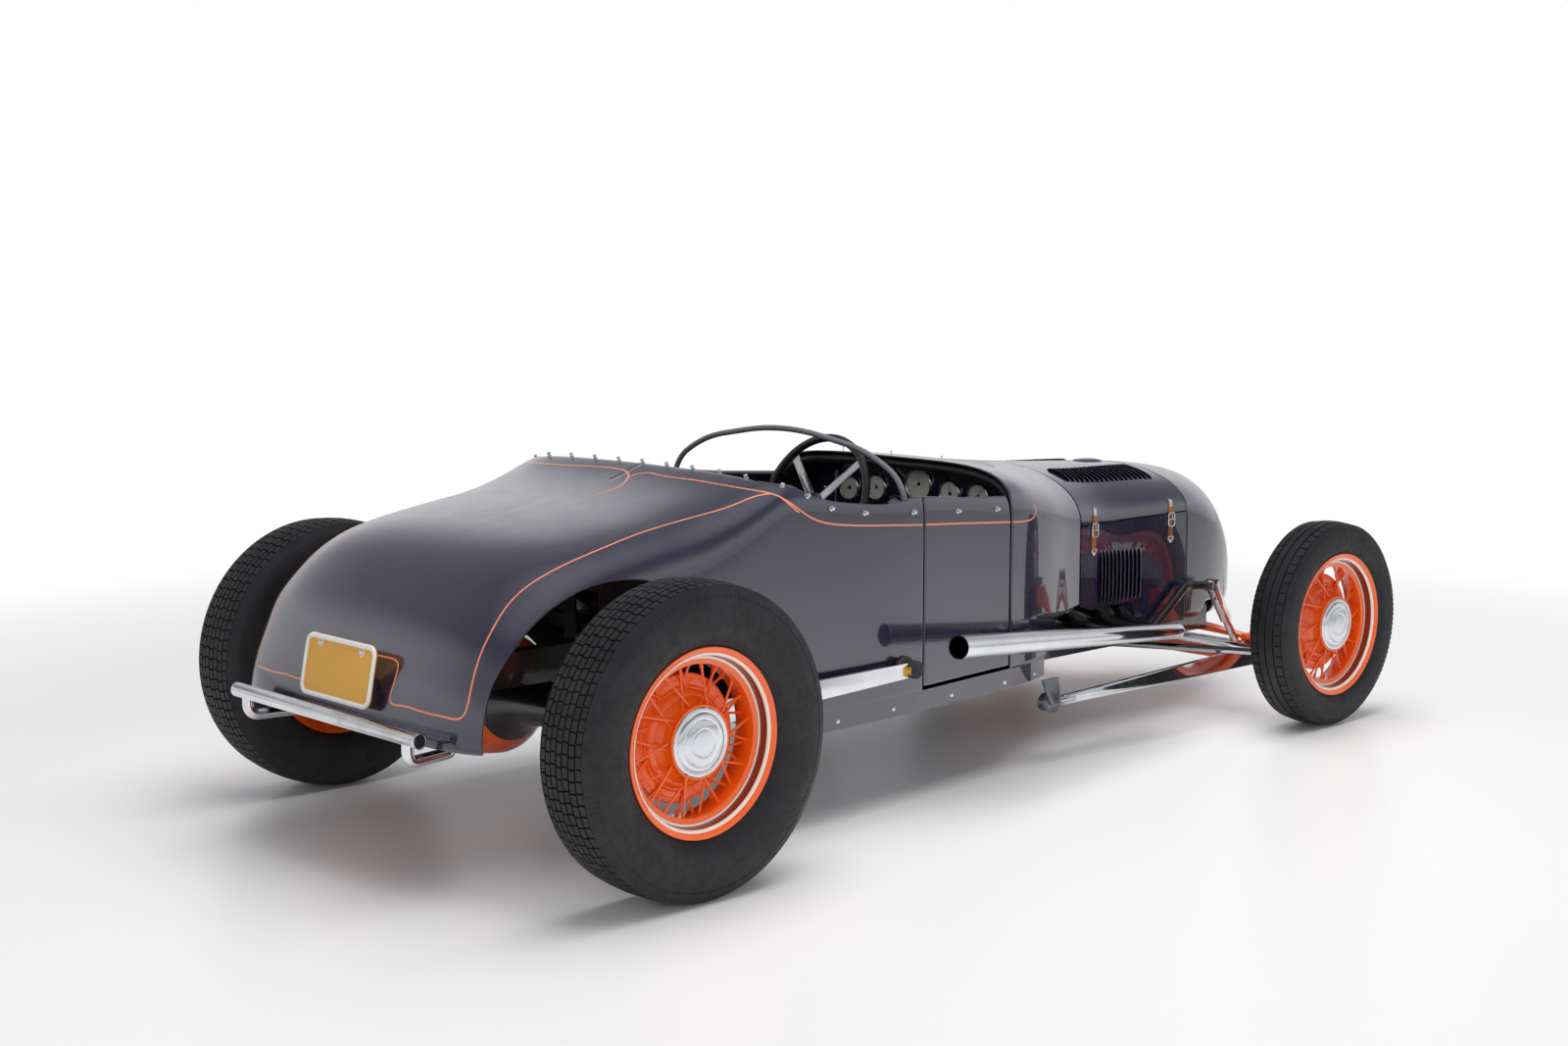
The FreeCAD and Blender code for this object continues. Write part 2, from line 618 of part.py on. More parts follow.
def front_end():
    x = wheelbase
    z = front_tyre_radius
    half = beam_height / 2
    drop = 470.0
    eye = kingpin_y - 26
    low, high = beam_z - half, beam_z + half
    beam = box(x - 6, x + 6, -drop, drop, low, high)
    flanges = []
    for bottom in (low, high - 10):
        flanges.append(box(x - beam_width / 2, x + beam_width / 2, -drop, drop, bottom, bottom + 10))
    ends = []
    for s in (1, -1):
        rise = Part.makePolygon([V(x - 18, s * (drop - 10), low), V(x - 18, s * (drop - 10), high),
                                 V(x - 18, s * (eye - 10), z + 34), V(x - 18, s * (eye + 8), z + 34),
                                 V(x - 18, s * (eye + 8), z - 34), V(x - 18, s * (eye - 10), z - 40),
                                 V(x - 18, s * (drop - 10), low)])
        ends.append(Part.Face(rise).extrude(V(36, 0, 0)))
        ends.append(rod((x, s * kingpin_y, z - 34), (x, s * kingpin_y, z + 34), 24))
        ends.append(box(x - beam_width / 2, x + beam_width / 2, min(s * 465, s * 491), max(s * 465, s * 491),
                        low, high))
    axle = beam.multiFuse(flanges + ends)
    for s in (1, -1):
        axle = axle.cut(rod((x, s * kingpin_y, z - 80), (x, s * kingpin_y, z + 80),
                            kingpin_radius + running_gap))
    keep("front_axle", axle.removeSplitter())

    hub_y = front_track / 2
    pin = rod((x, kingpin_y, z - 62), (x, kingpin_y, z + 62), kingpin_radius)
    ears = [rod((x, kingpin_y, z + 40), (x, kingpin_y, z + 60), 25),
            rod((x, kingpin_y, z - 60), (x, kingpin_y, z - 40), 25)]
    web = box(x - 22, x + 22, kingpin_y + 14, kingpin_y + 46, z - 60, z + 60)
    web = web.cut(rod((x, kingpin_y, z - 40), (x, kingpin_y, z + 40), 30))
    spindle = rod((x, kingpin_y + 30, z), (x, hub_y + 20, z), spindle_radius)
    shield = rod((x, kingpin_y + 44, z), (x, kingpin_y + 50, z), 140)
    for side, s in (("left", 1), ("right", -1)):
        reach = steer_arm if s > 0 else drag_arm
        arm = plate([(x + 10, z - 60), (x + 10, z - 44), (x - 60, link_z + 32), (x - reach - 16, link_z + 32),
                     (x - reach - 16, link_z + 18), (x - 60, link_z + 18)], kingpin_y - 16, kingpin_y + 16)
        arm = arm.cut(rod((x, kingpin_y, z - 40), (x, kingpin_y, z - 39), 1))
        knuckle = pin.multiFuse(ears + [web, spindle, shield, arm])
        bores = [steer_arm] + ([drag_arm] if s < 0 else [])
        for b in bores:
            knuckle = knuckle.cut(rod((x - b, kingpin_y, link_z), (x - b, kingpin_y, link_z + 60), 7.05))
        keep("knuckle_" + side, knuckle if s > 0 else mirrored(knuckle))

    tie = rod((x - steer_arm, -kingpin_y + 12, link_z), (x - steer_arm, kingpin_y - 12, link_z), link_radius)
    ends = []
    for s in (1, -1):
        ends.append(ball((x - steer_arm, s * kingpin_y, link_z), 15))
        ends.append(rod((x - steer_arm, s * kingpin_y, link_z), (x - steer_arm, s * kingpin_y, link_z + 34), 7))
    keep("tie_rod", tie.multiFuse(ends))

    pit = (pitman_x - drag_arm, pitman_y, link_z - 14)
    far = (x - drag_arm, -kingpin_y, link_z)
    link = rod(pit, far, link_radius)
    ends = [ball(pit, 15), ball(far, 15), rod(far, (far[0], far[1], link_z + 34), 7),
            rod(pit, (pit[0], pit[1], link_z + 14), 7)]
    keep("drag_link", link.multiFuse(ends))


def steering():
    slope = math.radians(column_slope)
    top = V(steering_wheel_x, column_y, steering_wheel_z)
    down = V(math.cos(slope), 0, -math.sin(slope))
    length = (pitman_x - 24 - steering_wheel_x) / math.cos(slope)
    foot = top + down * length
    arm_z = link_z + 2
    arm = slab([(pitman_x + 20, pitman_y - 18), (pitman_x + 20, pitman_y + 18),
                (pitman_x - drag_arm - 14, pitman_y + 12), (pitman_x - drag_arm - 14, pitman_y - 12)],
               arm_z, arm_z + 11)
    shaft = rod((pitman_x, pitman_y, arm_z), (pitman_x, pitman_y, arm_z + 70), 12)
    arm = arm.fuse(shaft)
    arm = arm.cut(rod((pitman_x - drag_arm, pitman_y, arm_z - 5), (pitman_x - drag_arm, pitman_y, arm_z + 30),
                      7.05))
    keep("pitman_arm", arm)
    case = box(pitman_x - 50, pitman_x + 45, pitman_y - 38, pitman_y + 38, arm_z + 17, foot.z + 42)
    jacket_start = top + down * 60
    jacket = Part.makeCylinder(21, length - 60, jacket_start, down)
    mast = case.fuse(jacket)
    mast = mast.cut(rod((pitman_x, pitman_y, arm_z), (pitman_x, pitman_y, arm_z + 72), 12 + running_gap))
    mast = mast.cut(Part.makeCylinder(10 + running_gap, 260, top + down * 40, down))
    keep("steering_column", mast)

    grip = Part.makeTorus(steering_wheel_radius, rim_grip_radius, top, down)
    hub = Part.makeCylinder(32, 30, top - down * 6, down)
    pin = Part.makeCylinder(10, 220, top, down)
    across = V(0, 1, 0)
    up = down.cross(across)
    spokes = []
    for angle in (45, 135, 225, 315):
        a = math.radians(angle)
        out = across * math.cos(a) + up * math.sin(a)
        wide = across * -math.sin(a) + up * math.cos(a)
        start = top + out * 24 - wide * 15 + down * 2
        face = Part.makePolygon([start, start + wide * 30, start + wide * 27 + out * 178,
                                 start + wide * 3 + out * 178, start])
        spokes.append(Part.Face(face).extrude(down * 4))
    keep("steering_wheel", hub.multiFuse([grip, pin] + spokes))


def leaf_pack(x, width, top, drop, reach, thick, thin):
    # a bowed transverse pack of leaves, thickest at its middle
    upper = Part.Arc(V(x, -reach, top - drop), V(x, 0, top), V(x, reach, top - drop)).toShape()
    lower = Part.Arc(V(x, reach, top - drop - thin), V(x, 0, top - thick), V(x, -reach, top - drop - thin))
    wire = Part.Wire([upper, Part.LineSegment(V(x, reach, top - drop), V(x, reach, top - drop - thin)).toShape(),
                      lower.toShape(),
                      Part.LineSegment(V(x, -reach, top - drop - thin), V(x, -reach, top - drop)).toShape()])
    pack = Part.Face(wire).extrude(V(width, 0, 0))
    pack.translate(V(-width / 2, 0, 0))
    return pack


def rear_end():
    z = rear_tyre_radius
    inner = rear_track / 2 - rear_rim_width / 2
    housing = turned([(0, -inner + 20), (36, -inner + 20), (36, -330), (70, -150), (150, -50), (158, -12),
                      (158, 12), (150, 50), (70, 150), (36, 330), (36, inner - 20), (0, inner - 20)])
    housing.translate(V(0, 0, z))
    shields = [rod((0, s * (inner - 28), z), (0, s * (inner - 20), z), 150) for s in (1, -1)]
    stubs = [rod((0, s * (inner - 40), z), (0, s * (rear_track / 2 + 20), z), spindle_radius)
             for s in (1, -1)]
    torque = rod((60, 0, z), (gearbox_rear_x - seat_gap, 0, z), 36)
    keep("rear_axle", housing.multiFuse(shields + stubs + [torque]).removeSplitter())

    top = spring_seat_z - seat_gap
    spring = leaf_pack(spring_x, 45, top, 78, 520, 40, 9)
    perches = []
    for s in (1, -1):
        perches.append(rod((20, s * 515, z + 22), (spring_x, s * 515, top - 96), 13))
        perches.append(rod((spring_x - 22.5, s * 515, top - 83), (spring_x + 22.5, s * 515, top - 83), 14))
    keep("rear_spring", spring.multiFuse(perches).cut(rod((0, -600, z), (0, 600, z), 36 + seat_gap)))

    arms = []
    for s in (1, -1):
        y0, y1 = s * 562, s * 600
        flat = Part.makePolygon([V(925, y0 - 7, 375 - 20), V(925, y0 - 7, 375 + 20), V(60, y1 - 7, z + 32),
                                 V(60, y1 - 7, z - 32), V(925, y0 - 7, 355)])
        bar = Part.Face(flat).extrude(V(0, 14, 0))
        eye = rod((950, y0 - 15, 375), (950, y0 + 15, 375), 24)
        pin = rod((950, s * (along(half_width, 950) + 2.0), 375), (950, s * 590, 375), 9)
        foot = rod((950, s * (along(half_width, 950) + 1.2), 375), (950, s * (along(half_width, 950) + 8), 375), 30)
        neck = box(900, 945, min(y0 - 8, y0 + 8), max(y0 - 8, y0 + 8), 365, 385)
        clamp = rod((0, s * 582, z), (0, s * 618, z), 52)
        tongue = box(0, 80, min(y1 - 7, y1 + 7), max(y1 - 7, y1 + 7), z - 30, z + 30)
        one = bar.multiFuse([eye, pin, foot, neck, clamp, tongue])
        panel = parts["quarter_panel_left" if s > 0 else "quarter_panel_right"]
        one = seated(one, panel, (0, s, 0))
        arms.append(one.cut(rod((0, s * 500, z), (0, s * 660, z), 36 + seat_gap)))
    keep("rear_radius_rods", Part.Compound(arms))


def front_suspension():
    x = wheelbase
    top = rail_bottom_z + 20 - seat_gap
    spring = leaf_pack(x, 44, top, 30, 440, 26, 8)
    shackles = []
    for s in (1, -1):
        shackles.append(rod((x - 22, s * 436, top - 34), (x + 22, s * 436, top - 34), 12))
        shackles.append(rod((x, s * 436, beam_z + beam_height / 2 + seat_gap), (x, s * 436, top - 34), 10))
    keep("front_spring", spring.multiFuse(shackles))
    rods = []
    for s in (1, -1):
        y = s * rod_y
        rear = (1640.0, s * 452, 168.0)
        high, low = beam_z + 28, beam_z - 30
        near = x - beam_width / 2 - 2.5 * seat_gap
        face = Part.makePolygon([V(near, 0, low), V(near, 0, high), V(rear[0] + 60, 0, rear[2] + 13),
                                 V(rear[0] + 60, 0, rear[2] - 13), V(near, 0, low)])
        bar = Part.Face(face).extrude(V(0, 13, 0))
        lean = math.degrees(math.atan2((rod_y - 452), x - rear[0]))
        bar.rotate(V(near, 0, 0), V(0, 0, 1), s * lean)
        bar.translate(V(0, y - 6.5, 0))
        eye = rod((rear[0], rear[1] - 20, rear[2]), (rear[0], rear[1] + 20, rear[2]), 26)
        neck = rod((rear[0], rear[1], rear[2]), (rear[0] + 110, rear[1] + s * 2, rear[2]), 11)
        hanger = plate([(rear[0] - 24, rear[2]), (rear[0] + 22, rear[2]),
                        (rear[0] + 10, pan_bottom_z - seat_gap), (rear[0] - 60, pan_bottom_z - seat_gap)],
                       min(rear[1] + s * 22, rear[1] + s * 28), max(rear[1] + s * 22, rear[1] + s * 28))
        pin = rod((rear[0], rear[1] - 30, rear[2]), (rear[0], rear[1] + 30, rear[2]), 8)
        rods.append(bar.multiFuse([eye, neck, hanger, pin]))
    keep("front_radius_rods", Part.Compound(rods))
    shocks = []
    for s in (1, -1):
        head = (2545.0, s * 365, 404.0)
        foot = (x - 37, s * 415, beam_z + beam_height / 2 + 10)
        mid = [head[i] + (foot[i] - head[i]) * 0.62 for i in range(3)]
        tube = rod(head, mid, 19)
        stem = rod(mid, foot, 13)
        base = box(x - 50, x - beam_width / 2 - seat_gap, min(s * 400, s * 430), max(s * 400, s * 430),
                   beam_z - 20, beam_z + beam_height / 2 + 10)
        web = rail_y + rail_width / 2 + seat_gap
        pad = box(2195, 2250, min(s * web, s * (web + 9)), max(s * web, s * (web + 9)), 262, 296)
        arm = swept([(2222, s * (web + 4), 279), (2222, s * 357, 279), (2420, s * 357, 416),
                     (2545, s * 356, 404)], 24, 13)
        cap = rod((2545, s * 350, 404), (2545, s * 384, 404), 21)
        shocks.append(tube.multiFuse([stem, base, pad, arm, cap]))
    keep("front_shocks", Part.Compound(shocks))


def block_side(z):
    # half width of the engine block at a height between its foot and its shoulder
    return 150 + 15 * (z - 300) / 180


def exhaust():
    rear = V(1024, 655, 436)
    front = V(2190, 495, 317)
    way = (front - rear).normalize()
    pipe = Part.makeCone(32, 24, (front - rear).Length, rear, way)
    bore = Part.makeCone(29.5, 22, (front - rear).Length - 60, rear - way, way)
    whole = [Part.makeSphere(24, front)]
    for start, cross, join, z, knee, out, low in ((1985, 1900, 1780, 380, 250, 350, 346),
                                                  (2040, 2035, 1950, 380, 250, 350, 346),
                                                  (2150, 2150, 2060, 448, 238, 340, 334)):
        end = rear + (front - rear) * ((join - rear.x) / (front.x - rear.x))
        whole.append(swept([(start, block_side(z) - 8, z), (cross, knee, z), (cross - 20, out, low),
                            (end.x + 20, end.y - 20, end.z + 4), (end.x - 20, end.y, end.z)], 0, 20))
    stay_x = door_front_x + 70
    at = rear + (front - rear) * ((stay_x - rear.x) / (front.x - rear.x))
    whole.append(rod((stay_x, along(half_width, stay_x) + seat_gap, at.z), (at.x, at.y, at.z), 8))
    left = seated(pipe.multiFuse(whole).cut(bore), parts["cowl"], (0, 1, 0))
    left = seated(left, parts["engine_block"], (0, 1, 0))
    keep("exhaust_left", left)
    keep("exhaust_right", mirrored(left))


def tail_gear():
    bar = rod((bumper_x, -bumper_half, bumper_z), (bumper_x, bumper_half, bumper_z), bumper_radius)
    arms = []
    for s in (1, -1):
        arms.append(rod((bumper_x, s * (bumper_half - collar_length), bumper_z),
                        (bumper_x, s * bumper_half, bumper_z), collar_radius))
        arms.append(swept([(bumper_x, s * 352, bumper_z), (bumper_x, s * 352, 322), (-360, s * 330, 322),
                           (-290, s * rail_y, 345), (-290, s * rail_y, rail_bottom_z + rail_kick - seat_gap)],
                          26, 14))
    keep("rear_bumper", bar.multiFuse(arms))
    plate_face = box(-1.5, 1.5, -152, 152, -76, 76)
    corners = [edge for edge in plate_face.Edges if abs(edge.BoundBox.XLength - 3) < 0.01]
    plate_face = plate_face.makeFillet(28, corners)
    studs = [rod((0, y, 0), (plate_stud, y, 0), 5) for y in (-90, 90)]
    sign = plate_face.multiFuse(studs)
    sign.rotate(V(0, 0, 0), V(0, 1, 0), 11)
    sign.translate(V(-442, 0, 480))
    keep("licence_plate", seated(sign, parts["rear_deck"], (-1, 0, 0)))


def bow():
    y = 472.0
    path = [(bow_x, -y, 700), (bow_x, -y, 850), (bow_x, -330, 930), (bow_x, 0, 985), (bow_x, 330, 930),
            (bow_x, y, 850), (bow_x, y, 700)]
    tube = swept(path, 0, 8)
    wall = along(half_width, bow_x) - wall_thickness
    feet = [box(bow_x - 14, bow_x + 14, min(s * 462, s * (wall - 2)), max(s * 462, s * (wall - 2)), 700, 730)
            for s in (1, -1)]
    frame_bow = seated(tube.multiFuse(feet), parts["quarter_panel_left"], (0, -1, 0))
    keep("tonneau_bow", seated(frame_bow, parts["quarter_panel_right"], (0, 1, 0)))


def power():
    across = [(block_side(300), 300), (block_side(480), 480), (262, 600), (205, 700)]
    across += [(-y, z) for y, z in across[::-1]]
    wire = Part.makePolygon([V(1950, y, z) for y, z in across + across[:1]])
    block = Part.Face(wire).extrude(V(480, 0, 0))
    box_rear = box(gearbox_rear_x, 1950, -gearbox_half, gearbox_half, 300, gearbox_top)
    keep("engine_block", block.fuse(box_rear).removeSplitter())
    keep("radiator", box(radiator_x - 30, radiator_x + 30, -205, 205, radiator_z, 690))


def build():
    os.makedirs("parts", exist_ok=True)
    body()
    hood()
    nose()
    frame()
    pan()
    wheels()
    front_end()
    steering()
    rear_end()
    front_suspension()
    power()
    exhaust()
    tail_gear()
    bow()
    shift = V(-(nose_tip_x + bumper_x - collar_radius) / 2, 0, 0)
    for name, shape in parts.items():
        moved = shape.copy()
        moved.translate(shift)
        moved.exportStep("parts/" + name + ".step")
        print(name, moved.isValid(), len(moved.Solids), round(moved.Volume / 1e6, 2))


build()
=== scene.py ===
import bpy
import bmesh
import json
import math
import numpy as np
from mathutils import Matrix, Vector
from mathutils.bvhtree import BVHTree

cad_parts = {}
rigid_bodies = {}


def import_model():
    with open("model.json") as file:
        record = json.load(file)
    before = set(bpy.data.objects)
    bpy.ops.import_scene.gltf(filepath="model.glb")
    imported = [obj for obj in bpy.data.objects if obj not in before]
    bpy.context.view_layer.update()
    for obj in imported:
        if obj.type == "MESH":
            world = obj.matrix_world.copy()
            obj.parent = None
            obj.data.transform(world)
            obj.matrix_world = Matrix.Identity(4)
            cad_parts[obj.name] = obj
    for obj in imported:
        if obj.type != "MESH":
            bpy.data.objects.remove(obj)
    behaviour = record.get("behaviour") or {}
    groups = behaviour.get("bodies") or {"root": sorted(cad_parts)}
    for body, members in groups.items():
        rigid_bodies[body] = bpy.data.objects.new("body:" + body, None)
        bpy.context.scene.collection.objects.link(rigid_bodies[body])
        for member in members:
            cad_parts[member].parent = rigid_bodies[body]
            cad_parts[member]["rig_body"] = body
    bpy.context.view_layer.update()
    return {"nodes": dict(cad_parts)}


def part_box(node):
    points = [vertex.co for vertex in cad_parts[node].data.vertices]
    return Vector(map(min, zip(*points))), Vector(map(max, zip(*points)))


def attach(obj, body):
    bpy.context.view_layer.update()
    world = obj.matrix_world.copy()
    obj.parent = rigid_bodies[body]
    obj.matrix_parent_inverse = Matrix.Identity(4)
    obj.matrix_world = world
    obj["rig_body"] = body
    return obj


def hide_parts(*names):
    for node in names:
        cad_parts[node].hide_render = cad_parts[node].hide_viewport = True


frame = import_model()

# Sizes of the body are in millimetres, with x measured forward from the rear axle and z up from the ground.
mm = 0.001
chassis = "chassis_body"


def centreOf(node):
    low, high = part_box(node)
    return (low + high) / 2


shiftX = centreOf("wheel_rear_left").x / mm  # the rear axle's place in the frame


def place(x, y, z):
    return Vector(((x + shiftX) * mm, y * mm, z * mm))


# Colour and materials

def linear(hexColour):
    channels = [int(hexColour[i:i + 2], 16) / 255 for i in (1, 3, 5)]
    return tuple(c / 12.92 if c <= 0.04045 else ((c + 0.055) / 1.055) ** 2.4 for c in channels) + (1.0,)


def fillSockets(tree, node, inputs):
    for key, value in inputs.items():
        if isinstance(value, bpy.types.NodeSocket):
            tree.links.new(value, node.inputs[key])
        else:
            node.inputs[key].default_value = value


def addNode(tree, kind, inputs=None, **settings):
    node = tree.nodes.new(kind)
    for key, value in settings.items():
        setattr(node, key, value)
    fillSockets(tree, node, inputs or {})
    return node


def startMaterial(name):
    material = bpy.data.materials.new(name)
    material.use_nodes = True
    return material, material.node_tree, material.node_tree.nodes["Principled BSDF"]


def finish(name, kind, **own):
    # drifts of shade, a roughness that wanders and a fine grain, each given as (width in mm, detail)
    look = {**kind, **own}
    material, tree, shader = startMaterial(name)
    where = addNode(tree, "ShaderNodeTexCoord").outputs["Object"]
    waves = []
    for wide, detail in (look["patch"], look["wander"], look["grain"]):
        wave = addNode(tree, "ShaderNodeTexNoise", {"Vector": where, "Scale": 1 / (wide * mm),
                                                    "Detail": detail})
        waves.append(wave.outputs["Fac"])
    share = addNode(tree, "ShaderNodeMapRange", {"Value": waves[0], "From Min": look["edge"],
                                                 "From Max": 1 - look["edge"], "To Max": look["drift"]})
    tone = addNode(tree, "ShaderNodeMix", {0: share.outputs[0], 6: linear(look["colour"]),
                                           7: linear(look["shade"])}, data_type="RGBA")
    if "flake" in look:
        cells = addNode(tree, "ShaderNodeTexVoronoi", {"Vector": where,
                                                       "Scale": 1 / (look["flakeWide"] * mm)})
        speck = addNode(tree, "ShaderNodeMapRange", {"Value": cells.outputs["Color"], "From Min": 0.55,
                                                     "From Max": 1.0, "To Max": look["flake"]})
        tone = addNode(tree, "ShaderNodeMix", {0: speck.outputs[0], 6: tone.outputs[2],
                                               7: linear(look["spark"])}, data_type="RGBA")
    low, high = (look["rough"] * part for part in look["swing"])
    rough = addNode(tree, "ShaderNodeMapRange", {"Value": waves[1], "From Min": 0.3, "From Max": 0.7,
                                                 "To Min": low, "To Max": high})
    relief = addNode(tree, "ShaderNodeBump", {"Height": waves[2], "Distance": look["depth"] * mm,
                                              "Strength": look["strength"]})
    fillSockets(tree, shader, {"Base Color": tone.outputs[2], "Roughness": rough.outputs[0],
                               "Metallic": look["metal"], look["bumpOn"]: relief.outputs[0]})
    if "coat" in look:
        fillSockets(tree, shader, {"Coat Weight": look["coat"], "Coat Roughness": look["coatRough"],
                                   "Coat IOR": look.get("coatIor", 1.5)})
    return material


# What the finishes of a family share: enamel has orange peel 4 mm wide, bare metal has wipe marks.
enamel = {"metal": 0.0, "patch": (454.5, 3.0), "edge": 0.3, "wander": (71.4, 3.0), "swing": (0.8, 1.2),
          "grain": (4.0, 1.0), "depth": 0.01, "strength": 0.35, "bumpOn": "Coat Normal"}
bareMetal = {"metal": 1.0, "patch": (111.1, 3.0), "edge": 0.3, "drift": 1.0, "wander": (28.6, 5.0),
             "swing": (0.6, 1.6), "strength": 0.5, "bumpOn": "Normal"}
satin = {"metal": 0.0, "edge": 0.35, "drift": 1.0, "wander": (16.7, 3.0), "swing": (0.85, 1.15),
         "strength": 0.6, "bumpOn": "Normal"}

# Enamel sprayed in many coats, flatted and polished: nearly black indigo, deep and wet, that mirrors the
# room. Its flake is finer in truth and is drawn 1.6 mm wide to show.
indigoEnamel = finish("indigoEnamel", enamel, colour="#17142f", shade="#121027", drift=0.5, rough=0.25,
                      coat=1.0, coatRough=0.015, coatIor=1.8, flake=0.25, flakeWide=1.6, spark="#423e72")
# Satin black brushed on inside the panels: a dull dark that hides its form; it is also painted shade,
# standing in for the shadow inside the body.
satinBlackAndShade = finish("satinBlackAndShade", satin, colour="#0d0d10", shade="#131317", patch=(166.7, 4.0), rough=0.55,
                    grain=(2.0, 3.0), depth=0.08)
# Enamel stoved on wheels and axles: a hot orange with a soft shine.
orangeEnamel = finish("orangeEnamel", enamel, colour="#fa650c", shade="#ee5a08", drift=0.6, rough=0.3,
                      coat=0.8, coatRough=0.05, flake=0.05, flakeWide=1.6, spark="#ff8a3c")
# Enamel lined by brush on the turning wheel: warm white rings.
creamEnamel = finish("creamEnamel", enamel, colour="#f6e9dd", shade="#efdccb", drift=0.4, rough=0.3,
                     coat=0.7, coatRough=0.05)
# Primer left under thin orange in the rim's channel: red-brown and flatter.
oxideEnamel = finish("oxideEnamel", enamel, colour="#8a3013", shade="#6d2410", drift=0.8, rough=0.35,
                     coat=0.6, coatRough=0.08)
# Lining enamel drawn with a long brush: a salmon line that stands a hair proud.
stripeEnamel = finish("stripeEnamel", enamel, colour="#ec8a63", shade="#e07b50", drift=0.5, rough=0.35,
                      coat=0.8, coatRough=0.04)
# Black enamel sprayed on the rails and springs: plain gloss black.
chassisEnamel = finish("chassisEnamel", enamel, colour="#0b0b0d", shade="#121215", drift=0.6, rough=0.3,
                       coat=0.8, coatRough=0.06)
# Steel plated with chromium and buffed: a clear mirror.
chromePlate = finish("chromePlate", bareMetal, colour="#e9eaec", shade="#d9dbe0", rough=0.06,
                     grain=(10.0, 2.0), depth=0.02)
# Aluminium spun and polished: bright but milky.
spunAluminium = finish("spunAluminium", bareMetal, colour="#d8d8d8", shade="#c4c5c8", rough=0.2,
                       grain=(4.0, 2.0), depth=0.04)
# Steel forged and machined: mid grey with a dull shine.
forgedSteel = finish("forgedSteel", bareMetal, colour="#8f9297", shade="#6e7177", rough=0.32,
                     grain=(3.0, 2.0), depth=0.06)
# Brass turned on a lathe: warm yellow metal.
turnedBrass = finish("turnedBrass", bareMetal, colour="#c59a4a", shade="#a47a30", rough=0.22,
                     grain=(4.0, 2.0), depth=0.03)
# Bent steel tube under sprayed grey: an even satin.
greyTube = finish("greyTube", satin, colour="#6d7076", shade="#5f6268", patch=(100.0, 4.0), rough=0.42,
                  grain=(2.0, 3.0), depth=0.03)
# Rubber cured in a mould: charcoal, dry, with a fine dusty grain.
mouldedRubber = finish("mouldedRubber", satin, colour="#17171a", shade="#212124", patch=(83.3, 4.0),
                       rough=0.62, grain=(1.8, 3.0), depth=0.09)
# Hard rubber moulded over steel and rubbed by hands: dark brown, smooth.
hardRubber = finish("hardRubber", satin, colour="#1b1718", shade="#262021", patch=(111.1, 4.0), rough=0.3,
                    grain=(3.0, 3.0), depth=0.03)
# Iron cast in sand and left: dark, pitted, no shine.
castIron = finish("castIron", satin, colour="#2a2b2d", shade="#3a3b3e", patch=(83.3, 4.0), rough=0.7,
                  grain=(2.0, 3.0), depth=0.2)
# Cowhide dyed black and stretched over stuffing: pores show as a soft grain.
blackHide = finish("blackHide", satin, colour="#16120f", shade="#221b17", patch=(71.4, 4.0), rough=0.45,
                   grain=(1.6, 3.0), depth=0.12)
# Bridle leather, tanned and waxed: tan that darkens in patches.
bridleLeather = finish("bridleLeather", satin, colour="#a86a2b", shade="#7d4a1b", patch=(25.0, 4.0),
                       rough=0.5, grain=(0.9, 3.0), depth=0.06)
# Steel plate pressed and stoved yellow: a warm, slightly dull field.
plateEnamel = finish("plateEnamel", enamel, colour="#e0a51c", shade="#cf9212", drift=0.6, rough=0.4,
                     coat=0.5, coatRough=0.1)
# White enamel on the plate's frame: clean with a soft shine.
whiteEnamel = finish("whiteEnamel", enamel, colour="#eeeeee", shade="#dedede", drift=0.5, rough=0.35,
                     coat=0.6, coatRough=0.06)
# Card printed for the dials: matt off-white.
dialCard = finish("dialCard", satin, colour="#dcdcd6", shade="#cfcfc8", patch=(16.7, 4.0), rough=0.45,
                  grain=(1.0, 3.0), depth=0.01)
print("materials done")


# Mesh building

def makePiece(name, verts, faces, materials, body=None, slots=None):
    mesh = bpy.data.meshes.new(name)
    mesh.from_pydata([tuple(v) for v in verts], [], faces)
    for material in materials:
        mesh.materials.append(material)
    if slots:
        mesh.polygons.foreach_set("material_index", slots)
    mesh.polygons.foreach_set("use_smooth", [True] * len(mesh.polygons))
    mesh.update()
    piece = bpy.data.objects.new(name, mesh)
    bpy.context.scene.collection.objects.link(piece)
    if body:
        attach(piece, body)
    return piece


def gridFaces(rows, columns, closeRows=False, closeColumns=False):
    faces = []
    for i in range(rows if closeRows else rows - 1):
        for j in range(columns if closeColumns else columns - 1):
            right, down = (j + 1) % columns, (i + 1) % rows
            faces.append((i * columns + j, i * columns + right, down * columns + right, down * columns + j))
    return faces


